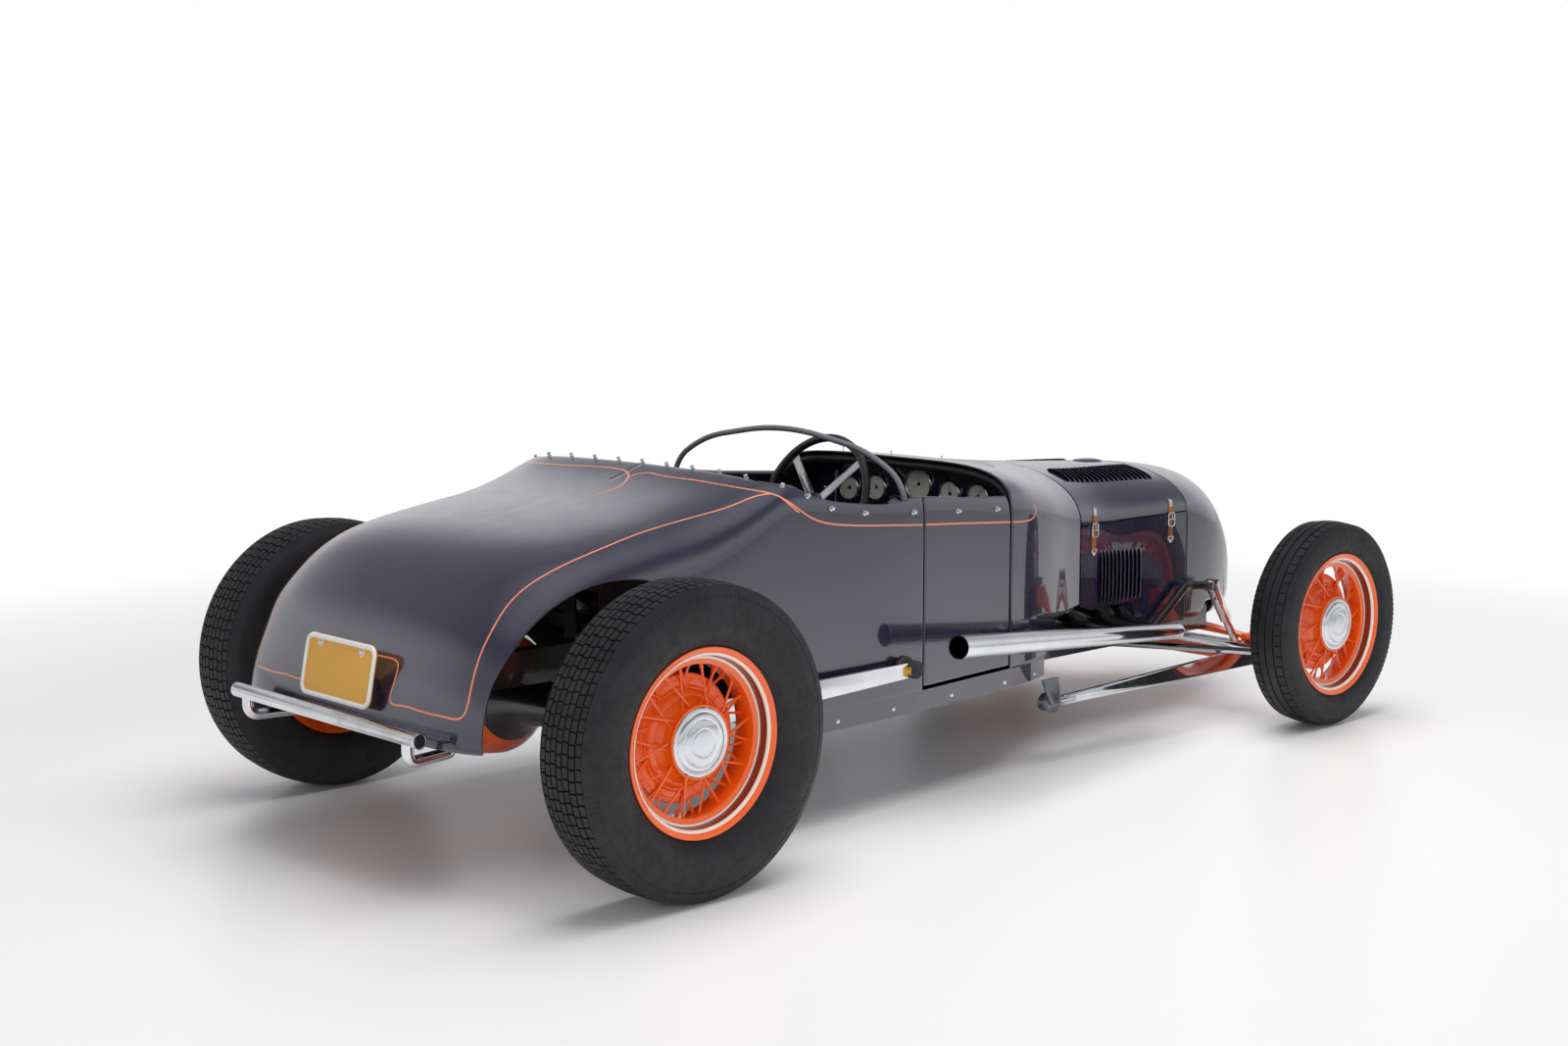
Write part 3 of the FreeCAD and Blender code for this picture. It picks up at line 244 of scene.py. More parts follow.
class Builder:
    # collects several small forms into one mesh
    def __init__(self):
        self.verts = []
        self.faces = []
        self.slots = []

    def add(self, verts, faces, slot=0):
        start = len(self.verts)
        self.verts.extend(verts)
        self.faces.extend(tuple(start + i for i in face) for face in faces)
        self.slots.extend(slot if isinstance(slot, list) else [slot] * len(faces))

    def tube(self, points, radius, sides=12, slot=0, closed=False):
        points = [Vector(p) for p in points]
        count = len(points)
        side = None
        rings = []
        for i, p in enumerate(points):
            before = points[i - 1] if i or closed else p
            after = points[(i + 1) % count] if i < count - 1 or closed else p
            way = (after - before).normalized()
            if side is None:
                side = way.orthogonal().normalized()
            side = (side - way * side.dot(way)).normalized()
            up = way.cross(side)
            for k in range(sides):
                a = 2 * math.pi * k / sides
                rings.append(p + (side * math.cos(a) + up * math.sin(a)) * radius * mm)
        faces = gridFaces(count, sides, closed, True)
        if not closed:
            faces.append(tuple(range(sides))[::-1])
            faces.append(tuple((count - 1) * sides + k for k in range(sides)))
        self.add(rings, faces, slot)

    def turn(self, profile, centre, axis=(0, 1, 0), sides=64, slot=0, closed=False):
        # profile: (radius, distance along the axis) pairs in mm, turned about the axis through the centre;
        # slot is one number, or one for each step of the profile
        axis = Vector(axis).normalized()
        side = axis.orthogonal().normalized()
        if abs(axis.y) > 0.99:
            side = Vector((1, 0, 0))
        up = axis.cross(side)
        centre = Vector(centre)
        verts = []
        for k in range(sides):
            a = 2 * math.pi * k / sides
            way = side * math.cos(a) + up * math.sin(a)
            verts += [centre + (way * r + axis * h) * mm for r, h in profile]
        columns = len(profile)
        if isinstance(slot, list):
            slot = slot[:columns if closed else columns - 1] * sides
        self.add(verts, gridFaces(sides, columns, True, closed), slot)

    def block(self, centre, axes, size, slot=0):
        u, v, w = (Vector(a) * s / 2 for a, s in zip(axes, size))
        corners = [centre + u * su + v * sv + w * sw
                   for sw in (-1, 1) for su, sv in ((-1, -1), (1, -1), (1, 1), (-1, 1))]
        faces = [(3, 2, 1, 0), (4, 5, 6, 7), (0, 1, 5, 4), (1, 2, 6, 5), (2, 3, 7, 6), (3, 0, 4, 7)]
        self.add(corners, faces, slot)

    def piece(self, name, materials, body=chassis, angle=35):
        piece = makePiece(name, self.verts, self.faces, materials, body, self.slots)
        work = bmesh.new()
        work.from_mesh(piece.data)
        bmesh.ops.recalc_face_normals(work, faces=work.faces)
        work.to_mesh(piece.data)
        work.free()
        piece.data.set_sharp_from_angle(angle=math.radians(angle))
        return piece


def thicken(piece, depth, inner=0):
    solid = piece.modifiers.new("wall", "SOLIDIFY")
    solid.thickness = depth * mm
    solid.offset = -1.0
    solid.use_even_offset = True
    solid.material_offset = inner
    return solid


def dressed(node, material, angle=32):
    # the CAD node's own form, welded and smoothed, in its place
    source = frame["nodes"][node]
    mesh = source.data.copy()
    piece = bpy.data.objects.new(node + "_finish", mesh)
    bpy.context.scene.collection.objects.link(piece)
    work = bmesh.new()
    work.from_mesh(mesh)
    bmesh.ops.remove_doubles(work, verts=work.verts, dist=0.00001)
    work.to_mesh(mesh)
    work.free()
    mesh.polygons.foreach_set("use_smooth", [True] * len(mesh.polygons))
    mesh.set_sharp_from_angle(angle=math.radians(angle))
    mesh.materials.clear()
    mesh.materials.append(material)
    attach(piece, source["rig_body"])
    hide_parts(node)
    return piece


# The body's lines

def along(stations, x):
    xs = [s[0] for s in stations]
    vs = [s[1] for s in stations]
    if x <= xs[0]:
        return vs[0]
    if x >= xs[-1]:
        return vs[-1]
    slopes = [(b - a) / (q - p) for a, b, p, q in zip(vs, vs[1:], xs, xs[1:])]
    ends = [slopes[0]] + [(s + t) / 2 for s, t in zip(slopes, slopes[1:])] + [slopes[-1]]
    i = max(k for k in range(len(xs) - 1) if xs[k] <= x)
    h = xs[i + 1] - xs[i]
    t = (x - xs[i]) / h
    return ((2 * t ** 3 - 3 * t ** 2 + 1) * vs[i] + (t ** 3 - 2 * t ** 2 + t) * h * ends[i]
            + (3 * t ** 2 - 2 * t ** 3) * vs[i + 1] + (t ** 3 - t ** 2) * h * ends[i + 1])


def spline(ts, values, queries):
    # natural cubic spline
    ts = np.array(ts, float)
    values = np.array(values, float)
    n = len(ts)
    h = np.diff(ts)
    matrix = np.eye(n)
    right = np.zeros((n,) + values.shape[1:])
    for i in range(1, n - 1):
        matrix[i, i - 1:i + 2] = [h[i - 1], 2 * (h[i - 1] + h[i]), h[i]]
        right[i] = 6 * ((values[i + 1] - values[i]) / h[i] - (values[i] - values[i - 1]) / h[i - 1])
    curve = np.linalg.solve(matrix, right)
    out = []
    for q in queries:
        i = int(min(max(np.searchsorted(ts, q) - 1, 0), n - 2))
        a, b = ts[i + 1] - q, q - ts[i]
        out.append((curve[i] * a ** 3 + curve[i + 1] * b ** 3) / (6 * h[i])
                   + (values[i] / h[i] - curve[i] * h[i] / 6) * a
                   + (values[i + 1] / h[i] - curve[i + 1] * h[i] / 6) * b)
    return np.array(out)


form = {
    "halfWidth": [(-450, 545), (200, 545), (500, 541), (900, 531), (1050, 520), (1280, 497), (1500, 474),
                  (1700, 418), (1900, 351), (2450, 329)],
    "archPower": [(0, 5.5), (300, 6), (520, 9), (900, 8), (1200, 6.5), (1430, 4.5), (1520, 3.5),
                  (1700, 2.7), (1900, 2.2), (2450, 2.2)],
    "crownZ": [(250, 842), (372, 868), (444, 890), (520, 914), (600, 912), (720, 900), (900, 890),
               (1100, 885), (1300, 875), (1430, 868), (1520, 862), (1700, 840), (1900, 820), (2450, 783)],
    "archDepth": [(250, 225), (1030, 225), (1430, 190), (1520, 164), (1700, 165), (1900, 170), (2450, 143)],
    "wallTop": [(600, 862), (665, 842), (735, 830), (800, 821), (890, 814), (950, 817), (1000, 823),
                (1030, 822), (1200, 805), (1430, 790)],
    "tail": [(-443, 350, 90), (-434, 408, 80), (-417, 468, 70), (-388, 536, 63), (-353, 605, 55),
             (-293, 671, 43), (-205, 737, 29), (-112, 776, 16), (0, 801, 9), (120, 821, 3), (250, 842, 0)],
    "tailDepth": 225, "tailPower": 5.5, "tubStations": [372, 444, 520, 600, 720, 900, 1060, 1240, 1430],
    "cowlStations": [1430, 1520, 1610, 1700, 1800, 1900], "hoodStations": [1903, 2040, 2180, 2315, 2450],
    "archX": -20, "archZ": 340, "archRadius": 370, "cockpitRear": 500, "doorRear": 1030, "doorFront": 1430,
    "doorGap": 6, "bottom": 300, "tubCrown": 14, "reach": 640,
    "lipX": [500, 522, 570], "lipY": [440, 484, 508], "lipTop": (570, 880.5)}
walls = {"tub": 26.0, "deckShare": [(480, 0.23), (620, 1.0)], "tubRoll": 2.2, "door": 22.0, "doorRoll": 4.0,
         "cowl": 5.0, "hood": 4.0, "nose": 5.0}


def sectionRow(x):
    return [x, along(form["crownZ"], x), 0, along(form["halfWidth"], x), along(form["archDepth"], x),
            along(form["archPower"], x)]


def tubRows():
    tail = [[x, z, turn, along(form["halfWidth"], x), form["tailDepth"], form["tailPower"]]
            for x, z, turn in form["tail"]]
    return np.array(tail + [sectionRow(x) for x in form["tubStations"]], float)


def chord(rows):
    steps = np.linalg.norm(np.diff(rows[:, :2], axis=0), axis=1)
    return np.concatenate([[0], np.cumsum(steps)])


def sectionPath(row, crown=0.0):
    # half a section as points (x, y, z), from the crown down the left flank
    x, z, turn, half, depth, power = row
    angles = np.linspace(math.pi / 2, 0, 220)
    c, s = np.cos(angles), np.sin(angles)
    y = np.maximum(c, 0) ** (2 / power) * half
    d = depth * (1 - s ** (2 / power)) + crown * (y / half) ** 2
    flank = np.linspace(d[-1], form["reach"], 60)[1:]
    y = np.concatenate([y, np.full(len(flank), half)])
    d = np.concatenate([d, flank])
    a = math.radians(turn)
    return np.stack([x + d * math.sin(a), y, z - d * math.cos(a)], axis=1)


def crossing(path, value):
    # where the value along the path first turns positive, as a fractional index
    above = np.nonzero(value > 0)[0]
    if not len(above):
        return float(len(path) - 1)
    i = int(above[0])
    return i - 1 + value[i - 1] / (value[i - 1] - value[i]) if i else 0.0


def resample(path, start, end, count):
    index = np.arange(len(path))
    inside = index[(index > start) & (index < end)]
    keys = np.concatenate([[start], inside, [end]])
    points = np.stack([np.interp(keys, index, path[:, k]) for k in range(3)], axis=1)
    lengths = np.concatenate([[0], np.cumsum(np.linalg.norm(np.diff(points, axis=0), axis=1))])
    even = np.linspace(0, lengths[-1], count)
    return np.stack([np.interp(even, lengths, points[:, k]) for k in range(3)], axis=1)


def skin(name, strips, wall, body=chassis, both=True):
    # strips are grids of left-hand points in millimetres; both adds the right-hand side
    build = Builder()
    for grid in strips:
        faces = gridFaces(*grid.shape[:2])
        flat = [place(*p) for p in grid.reshape(-1, 3)]
        build.add(flat, faces)
        if both:
            build.add([Vector((p.x, -p.y, p.z)) for p in flat], [f[::-1] for f in faces])
    piece = makePiece(name, build.verts, build.faces, [indigoEnamel, satinBlackAndShade])
    weld = 0.04 * mm
    work = bmesh.new()
    work.from_mesh(piece.data)
    bmesh.ops.remove_doubles(work, verts=work.verts, dist=weld)
    bmesh.ops.dissolve_degenerate(work, edges=work.edges, dist=weld)
    bmesh.ops.recalc_face_normals(work, faces=work.faces)
    outward = 0.0
    for face in work.faces:
        centre = face.calc_center_median()
        outward += face.normal.dot(centre - Vector((centre.x, 0, 0.5))) * face.calc_area()
    if outward < 0:
        bmesh.ops.reverse_faces(work, faces=work.faces)
    work.to_mesh(piece.data)
    work.free()
    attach(piece, body)
    # the wall's inner faces take the second material, satin black that is also painted shade inside the body
    thicken(piece, wall, 1)
    return piece


tubTable = tubRows()
tubChord = chord(tubTable)
tailEnd = len(form["tail"]) - 1


def tubRowAt(x):
    # rows forward of the tail's turn, found by their x
    low, high = tubChord[tailEnd], tubChord[-1]
    for _ in range(30):
        middle = (low + high) / 2
        if spline(tubChord, tubTable, [middle])[0][0] < x:
            low = middle
        else:
            high = middle
    return spline(tubChord, tubTable, [(low + high) / 2])[0]


def tubPath(row):
    return sectionPath(row, form["tubCrown"])


def edgeIndex(row, path):
    # where the cockpit's edge cuts the section
    x = row[0]
    if x < form["lipX"][-1]:
        return crossing(path, path[:, 1] - np.interp(x, form["lipX"], form["lipY"]))
    return crossing(path, along([form["lipTop"]] + form["wallTop"], x) - path[:, 2])


def footIndex(row, path):
    # where the wheel's arch or the sill cuts the section
    circle = form["archRadius"] - np.hypot(path[:, 0] - form["archX"], path[:, 2] - form["archZ"])
    sill = form["archZ"] - path[:, 2]
    if row[0] < form["archX"] + form["archRadius"]:
        return crossing(path, np.maximum(circle, sill))
    return crossing(path, sill)


def tubSkin():
    archFront = form["archX"] + form["archRadius"]
    tailRows = [spline(tubChord, tubTable, [t])[0] for t in np.linspace(0, tubChord[tailEnd], 74)]
    xs = []
    for start, end, count in ((form["tail"][-1][0], archFront, 9), (archFront, form["cockpitRear"], 14),
                              (form["cockpitRear"], form["lipX"][-1], 12),
                              (form["lipX"][-1], form["doorRear"], 44)):
        xs += list(np.linspace(start, end, count))[1:]
    deck, side, strip = [], [], []
    for row in tailRows + [tubRowAt(x) for x in xs]:
        path = tubPath(row)
        edge = edgeIndex(row, path)
        foot = footIndex(row, path)
        if row[0] <= form["cockpitRear"] + 0.01:
            deck.append(resample(path, 0, edge, 30))
        side.append(resample(path, edge, foot, 84))
        if row[0] >= archFront - 0.01:
            strip.append(resample(path, foot, crossing(path, form["bottom"] - path[:, 2]), 5))
    piece = skin("body_tub", [np.array(deck), np.array(side), np.array(strip)], walls["tub"])
    wallShare(piece, *zip(*walls["deckShare"]))
    rollEdges(piece, walls["tubRoll"])
    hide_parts("rear_deck", "quarter_panel_left", "quarter_panel_right")
    return piece


def wallShare(piece, xs, shares):
    # the wall is thin under the deck and full beside the seat
    group = piece.vertex_groups.new(name="wall")
    for vertex in piece.data.vertices:
        group.add([vertex.index], float(np.interp(vertex.co.x / mm - shiftX, xs, shares)), "REPLACE")
    piece.modifiers["wall"].vertex_group = "wall"


def rollEdges(piece, width):
    bevel = piece.modifiers.new("edge", "BEVEL")
    bevel.width = width * mm
    bevel.segments = 3
    bevel.limit_method = "ANGLE"
    bevel.angle_limit = math.radians(50)
    bevel.use_clamp_overlap = False


def mirrored(grid, side):
    return grid * (1, 1 if side == "left" else -1, 1)


def doorSkin(side):
    grid = []
    for x in np.linspace(form["doorRear"] + form["doorGap"], form["doorFront"] - form["doorGap"], 40):
        row = tubRowAt(x)
        path = tubPath(row)
        base = crossing(path, form["bottom"] + 10 - path[:, 2])
        grid.append(resample(path, edgeIndex(row, path), base, 60))
    piece = skin("door_skin_" + side, [mirrored(np.array(grid), side)], walls["door"], "door_" + side, False)
    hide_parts("door_" + side)
    rollEdges(piece, walls["doorRoll"])
    return piece


tub = tubSkin()
doors = {side: doorSkin(side) for side in ("left", "right")}
print("tub done")


def forwardGrid(stations, xs, low, top=None):
    # low is a function of x; without a top the grid starts at the crown
    table = np.array([sectionRow(x) for x in stations], float)
    grid = []
    for x in xs:
        path = sectionPath(spline(table[:, 0], table, [x])[0])
        start = crossing(path, top - path[:, 2]) if top else 0.0
        base = crossing(path, low(x) - path[:, 2])
        grid.append(resample(path, start, base, 50 if top else 90))
    return np.array(grid)


hood = {"splitTop": 650.0, "splitSide": 646.0,
        "cowlEdge": [(1430, 300), (1640, 300), (1700, 395), (1900, 410)],
        "sideEdge": [(1903, 409), (1960, 388), (2178, 388), (2214, 300), (2450, 300)]}


def lineAt(points, x):
    return np.interp(x, *zip(*points))


def forwardSkin(name, node, stations, count, low, wall, top=None, side=None):
    grid = forwardGrid(stations, np.linspace(stations[0], stations[-1], count), low, top)
    if side:
        grid = mirrored(grid, side)
    piece = skin(name, [grid], wall, both=side is None)
    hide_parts(node)
    return piece


cowl = forwardSkin("cowl_skin", "cowl", form["cowlStations"], 56, lambda x: lineAt(hood["cowlEdge"], x),
                   walls["cowl"])
hoodTop = forwardSkin("hood_top_skin", "hood_top", form["hoodStations"], 60, lambda x: hood["splitTop"],
                      walls["hood"])
hoodSides = {side: forwardSkin("hood_side_skin_" + side, "hood_side_" + side, form["hoodStations"], 60,
                               lambda x: lineAt(hood["sideEdge"], x), walls["hood"], hood["splitSide"], side)
             for side in ("left", "right")}

# Stations give x, half width, top, upper and lower end of the flat flank, and keel.
noseForm = {
    "stations": [(2453, 329, 783, 640, 330, 262), (2560, 320, 773, 600, 335, 250),
                 (2660, 300, 757, 540, 360, 246), (2743, 271, 730, 470, 375, 240),
                 (2814, 235, 686, 420, 365, 246), (2884, 185, 628, 410, 375, 268),
                 (2940, 130, 570, 425, 395, 305), (2976, 82, 520, 440, 420, 345)],
    "lowEdge": [(2453, 300), (2545, 300), (2580, 345), (2640, 345), (2700, 275), (2760, 236)],
    "topPower": 2.2, "keelPower": 2.6}


def nosePath(row):
    x, half, top, upper, lower, keel = row
    topPower, keelPower = noseForm["topPower"], noseForm["keelPower"]
    angles = np.linspace(math.pi / 2, 0, 120)
    c, s = np.maximum(np.cos(angles), 0), np.maximum(np.sin(angles), 0)
    up = np.stack([np.full(120, x), c ** (2 / topPower) * half,
                   upper + (top - upper) * s ** (2 / topPower)], axis=1)
    flank = np.linspace(upper, lower, 20)[1:-1]
    side = np.stack([np.full(len(flank), x), np.full(len(flank), half), flank], axis=1)
    c, s = c[::-1], s[::-1]
    down = np.stack([np.full(120, x), c ** (2 / keelPower) * half,
                     lower - (lower - keel) * s ** (2 / keelPower)], axis=1)
    return np.concatenate([up, side, down])


def noseSkin():
    table = np.array(noseForm["stations"], float)
    steps = chord(table[:, [0, 2]])
    openEnd = noseForm["lowEdge"][-1][0]
    grid = []
    for t in np.linspace(0, steps[-1], 70):
        row = spline(steps, table, [t])[0]
        path = nosePath(row)
        base = float(len(path) - 1)
        if row[0] < openEnd:
            base = crossing(path, lineAt(noseForm["lowEdge"], row[0]) - path[:, 2])
        grid.append(resample(path, 0, base, 120))
    piece = skin("nose_skin", [np.array(grid)], walls["nose"])
    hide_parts("nose_shell")
    return piece


nose = noseSkin()
print("forward body done")


# Running gear

running = {
    "rimRadius": 220.5, "spokePairs": 10, "spoke": 3.2, "nipple": 4.6, "sides": 144, "crownDrop": 6.4,
    "rings": (0.1, 0.62, 0.68),
    "rear": {"radius": 368.0, "width": 188.0, "rim": 130.0, "halfTrack": 752.5, "columns": 7, "rows": 84,
             "groove": 7.5, "gap": 2.2, "slit": 0.0055, "stagger": 0.14},
    "front": {"radius": 317.0, "width": 142.0, "rim": 116.0, "halfTrack": 714.5, "columns": 4, "rows": 60,
              "groove": 5.0, "gap": 2.4, "slit": 0.005, "stagger": 0.0}}


def tyreProfile(radius, width, rim):
    # half of the outline as (radius, side) pairs, from the bead up to the tread's edge
    half = width / 2
    lip = rim / 2 - 5.4
    start = running["rimRadius"] + 0.7
    wall = radius - start
    keys = [(start, lip), (start + 0.16 * wall, lip + 0.7 * (half - lip)), (start + 0.45 * wall, half - 0.6),
            (start + 0.8 * wall, half * 0.91), (radius - 7, half * 0.76)]
    steps = np.concatenate([[0], np.cumsum([math.dist(a, b) for a, b in zip(keys, keys[1:])])])
    return [tuple(p) for p in spline(steps, np.array(keys), np.linspace(0, steps[-1], 22))]


def polar(centre, sign, r, y, a):
    # a point by its radius, side distance and angle about the wheel's axis
    return centre + Vector((math.cos(a) * r, sign * y, math.sin(a) * r)) * mm


def tyrePiece(end, side):
    data = running[end]
    centre = centreOf("tyre_%s_%s" % (end, side))
    sign = 1 if side == "left" else -1
    axis = (0, sign, 0)
    radius, groove, rows, columns = (data[key] for key in ("radius", "groove", "rows", "columns"))
    flank = tyreProfile(radius, data["width"], data["rim"])
    edge = flank[-1][1]
    turn = 2 * math.pi / rows
    build = Builder()

    def crest(y):
        return radius - 0.3 - (y / edge) ** 2 * running["crownDrop"]

    outline = [(running["rimRadius"] - 14, data["rim"] / 2 - 9.5)] + flank[:-1]
    outline += [(crest(edge) + 0.6, edge + 1.2), (crest(edge) - groove, edge - 1.0)]
    middle = [(crest(y) - groove, y) for y in np.linspace(edge - 4, 4 - edge, 15)]
    outline = outline + middle + [(r, -y) for r, y in outline[::-1]]
    build.turn(outline, centre, axis, running["sides"], closed=True)

    def ring(r, height, wide):
        # a fine ring moulded on the sidewall
        y = float(np.interp(r, *zip(*flank)))
        for face in (1, -1):
            profile = [(r - wide, face * (y - 1.5)), (r - wide * 0.5, face * (y + height)),
                       (r + wide * 0.5, face * (y + height)), (r + wide, face * (y - 1.5))]
            build.turn(profile, centre, axis, running["sides"])

    for share in running["rings"]:
        ring(running["rimRadius"] + share * (radius - running["rimRadius"]), -0.4, 1.6)

    def lug(y0, y1, a0, a1):
        # one block of the tread, eased at its top edges
        verts = []
        for level, shrink in ((-1.5, 0.0), (groove - 0.8, 0.0), (groove, 0.7)):
            slim = shrink / radius
            for y, a in ((y0 + shrink, a0 + slim), (y1 - shrink, a0 + slim), (y1 - shrink, a1 - slim),
                         (y0 + shrink, a1 - slim)):
                verts.append(polar(centre, sign, crest(y) - groove + level, y, a))
        faces = [(8, 9, 10, 11)]
        for k in range(4):
            n = (k + 1) % 4
            faces.append((k, n, 4 + n, 4 + k))
            faces.append((4 + k, 4 + n, 8 + n, 8 + k))
        build.add(verts, faces)

    def rib(y0, y1):
        # one plain rib of the front tyre's tread
        profile = [(crest(y0) - groove - 1, y0), (crest(y0) - 0.8, y0)]
        profile += [(crest(y), y) for y in (y0 + 0.7, (y0 + y1) / 2, y1 - 0.7)]
        profile += [(crest(y1) - 0.8, y1), (crest(y1) - groove - 1, y1)]
        build.turn(profile, centre, axis, running["sides"])

    pitch = 2 * edge / columns
    for c in range(columns):
        y0 = -edge + c * pitch + data["gap"]
        y1 = -edge + (c + 1) * pitch - data["gap"]
        if end == "front" and 0 < c < columns - 1:
            rib(y0, y1)
            continue
        for k in range(rows):
            a0 = turn * (k + (data["stagger"] if c % 2 else 0))
            lug(y0, y1, a0 + data["slit"], a0 + turn - data["slit"])
    # shoulder buttresses, two to a row
    for k in range(rows * 2):
        for face in (1, -1):
            verts = [polar(centre, sign, r + out * 0.3, face * (y + out), turn / 2 * (k + da))
                     for r, y in (flank[-1], flank[-5]) for da in (-0.3, 0.3) for out in (-0.8, 1.1)]
            build.add(verts, [(0, 1, 3, 2), (4, 6, 7, 5), (0, 4, 5, 1), (2, 3, 7, 6), (1, 5, 7, 3)])
    corner = "%s_%s" % (end, side)
    piece = build.piece("tyre_dress_" + corner, [mouldedRubber], "roadwheel_" + corner, 30)
    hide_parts("tyre_" + corner)


def rimProfile(half):
    # the flange's face out to in: (radius, side, finish), with cream rings beside the oxide channel
    return [(219.2, half - 0.2, 0), (220.5, half - 1.4, 0), (220.5, half - 4, 0), (206, half - 8, 0),
            (204, half - 34, 0), (181, half - 42, 0), (181, 42 - half, 0), (204, 34 - half, 0),
            (206, 8 - half, 0), (220.5, 4 - half, 0), (220.5, 1.4 - half, 0), (218.5, -half, 0),
            (213, -half + 1.5, 0), (205, 5 - half, 0), (199, 9 - half, 0), (198.5, 31 - half, 0),
            (178, 37 - half, 0), (176, 41 - half, 0), (176, half - 44, 0), (177, half - 36, 0),
            (181, half - 33, 0), (188, half - 32, 0), (189.5, half - 31.6, 1), (195, half - 31.6, 2),
            (196, half - 31, 2), (197.5, half - 22, 2), (198.5, half - 12, 1), (200.5, half - 8.8, 1),
            (205.5, half - 6.4, 0), (208, half - 4.5, 0), (212.5, half - 2.6, 0), (216, half - 0.4, 0)]


hub = {
    "drum": [(17.2, -46), (148, -46), (150, -44), (150, -20), (148, -17), (143, -16), (141, -17.5),
             (138, -17.5), (136, -16), (124, -16), (121, -14), (119, -10), (116, -10), (113, -5),
             (104, 2.5), (101, 3), (98, 7), (88, 16.5), (86, 20), (84, 30), (80, 38), (80, 41)],
    "ring": [(79, 39), (84, 40), (86, 41.5), (86.5, 44), (85.5, 46), (83, 46.5), (80, 45)],
    "cap": [(81, 43), (80.5, 47), (78.5, 49), (74, 49.4), (72, 48.3), (69.5, 48.3), (68, 50.5), (64, 53.2),
            (58, 54.6), (56, 53.6), (53.5, 53.6), (52, 55.2), (44, 57.2), (36, 58.2), (34, 57.2), (31, 57.2),
            (29.5, 58.6), (20, 59.5), (10, 59.9), (0.05, 60.0)]}


def wheelPiece(end, side):
    data = running[end]
    sign = 1 if side == "left" else -1
    axis = (0, sign, 0)
    centre = centreOf("wheel_%s_%s" % (end, side))
    centre.y = sign * data["halfTrack"] * mm  # the node's box is not even about the wheel's plane
    build = Builder()
    rim = rimProfile(data["rim"] / 2)
    build.turn([(r, h) for r, h, slot in rim], centre, axis, 128, [slot for r, h, slot in rim], True)
    for part, slot in (("drum", 0), ("ring", 0), ("cap", 3)):
        build.turn(hub[part], centre, axis, 128, slot)
    for k in range(running["spokePairs"]):
        middle = 360.0 * k / running["spokePairs"]
        for lean, depth in ((1, 0), (-1, -8)):
            # one from the outer hub and one from the drum, each as (radius, side, degrees)
            outer = (74, 34 + depth, middle - lean * 9), (178, 16 + depth, middle + lean * 9)
            inner = (112, depth / 2 - 9, middle + 18 - lean * 4), (177.5, depth - 6, middle + 18 + lean * 7)
            for run in (outer, inner):
                start, stop = (polar(centre, sign, r, h, math.radians(a)) for r, h, a in run)
                way = (stop - start).normalized() * mm
                build.tube([start, stop], running["spoke"], 10)
                build.tube([stop - way * 14, stop + way * 1.5], running["nipple"], 10)
    corner = "%s_%s" % (end, side)
    paints = [orangeEnamel, creamEnamel, oxideEnamel, chromePlate]
    piece = build.piece("wheel_dress_" + corner, paints, "roadwheel_" + corner, 32)
    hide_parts("wheel_" + corner)


for end in ("rear", "front"):
    for side in ("left", "right"):
        tyrePiece(end, side)
        wheelPiece(end, side)
print("wheels done")


# Fine work on the panels

def surfaceOf(*pieces):
    verts, faces = [], []
    for piece in pieces:
        start = len(verts)
        verts.extend(v.co.copy() for v in piece.data.vertices)
        faces.extend([start + i for i in f.vertices] for f in piece.data.polygons)
    return BVHTree.FromPolygons(verts, faces)


surfaces = {"tub": surfaceOf(tub), "cowl": surfaceOf(cowl), "nose": surfaceOf(nose),
            "hood": surfaceOf(hoodTop, hoodSides["left"], hoodSides["right"]),
            "door_left": surfaceOf(doors["left"]), "door_right": surfaceOf(doors["right"]),
            "dash": surfaceOf(frame["nodes"]["dash_panel"]), "pan": surfaceOf(frame["nodes"]["belly_pan"]),
            "plate": surfaceOf(frame["nodes"]["licence_plate"])}

louvres = {"topCount": 18, "topX": 1981, "topPitch": 24, "inner": 155, "innerStep": 2.6, "outer": 237,
           "sideCount": 11, "sideX": 2013, "sidePitch": 20, "sideLow": 399, "sideHigh": 560, "width": 9,
           "lift": 9.0, "lead": 8.0, "cover": 3.0, "past": 4.0, "metal": 1.3, "throughSide": (280, 420),
           "throughTop": (680, 900)}


def stadium(start, end, radius, count=6):
    # an outline with round ends, as (across, along) pairs
    angles = [math.pi * k / count for k in range(count + 1)]
    far = [(radius * math.cos(a), end - radius + radius * math.sin(a)) for a in angles]
    near = [(-radius * math.cos(a), start + radius - radius * math.sin(a)) for a in angles]
    return far + near


def prism(build, low, high):
    count = len(low)
    sides = [(k, (k + 1) % count, count + (k + 1) % count, count + k) for k in range(count)]
    build.add(low + high, sides + [tuple(range(count))[::-1], tuple(range(count, 2 * count))])


def carve(piece, cutters):
    tool = cutters.piece("cutters", [satinBlackAndShade], None)
    cut = piece.modifiers.new("slots", "BOOLEAN")
    cut.object = tool
    cut.operation = "DIFFERENCE"
    cut.solver = "EXACT"
    graph = bpy.context.evaluated_depsgraph_get()
    mesh = bpy.data.meshes.new_from_object(piece.evaluated_get(graph))
    piece.modifiers.clear()
    piece.data = mesh
    mesh.set_sharp_from_angle(angle=math.radians(30))
    bpy.data.objects.remove(tool)


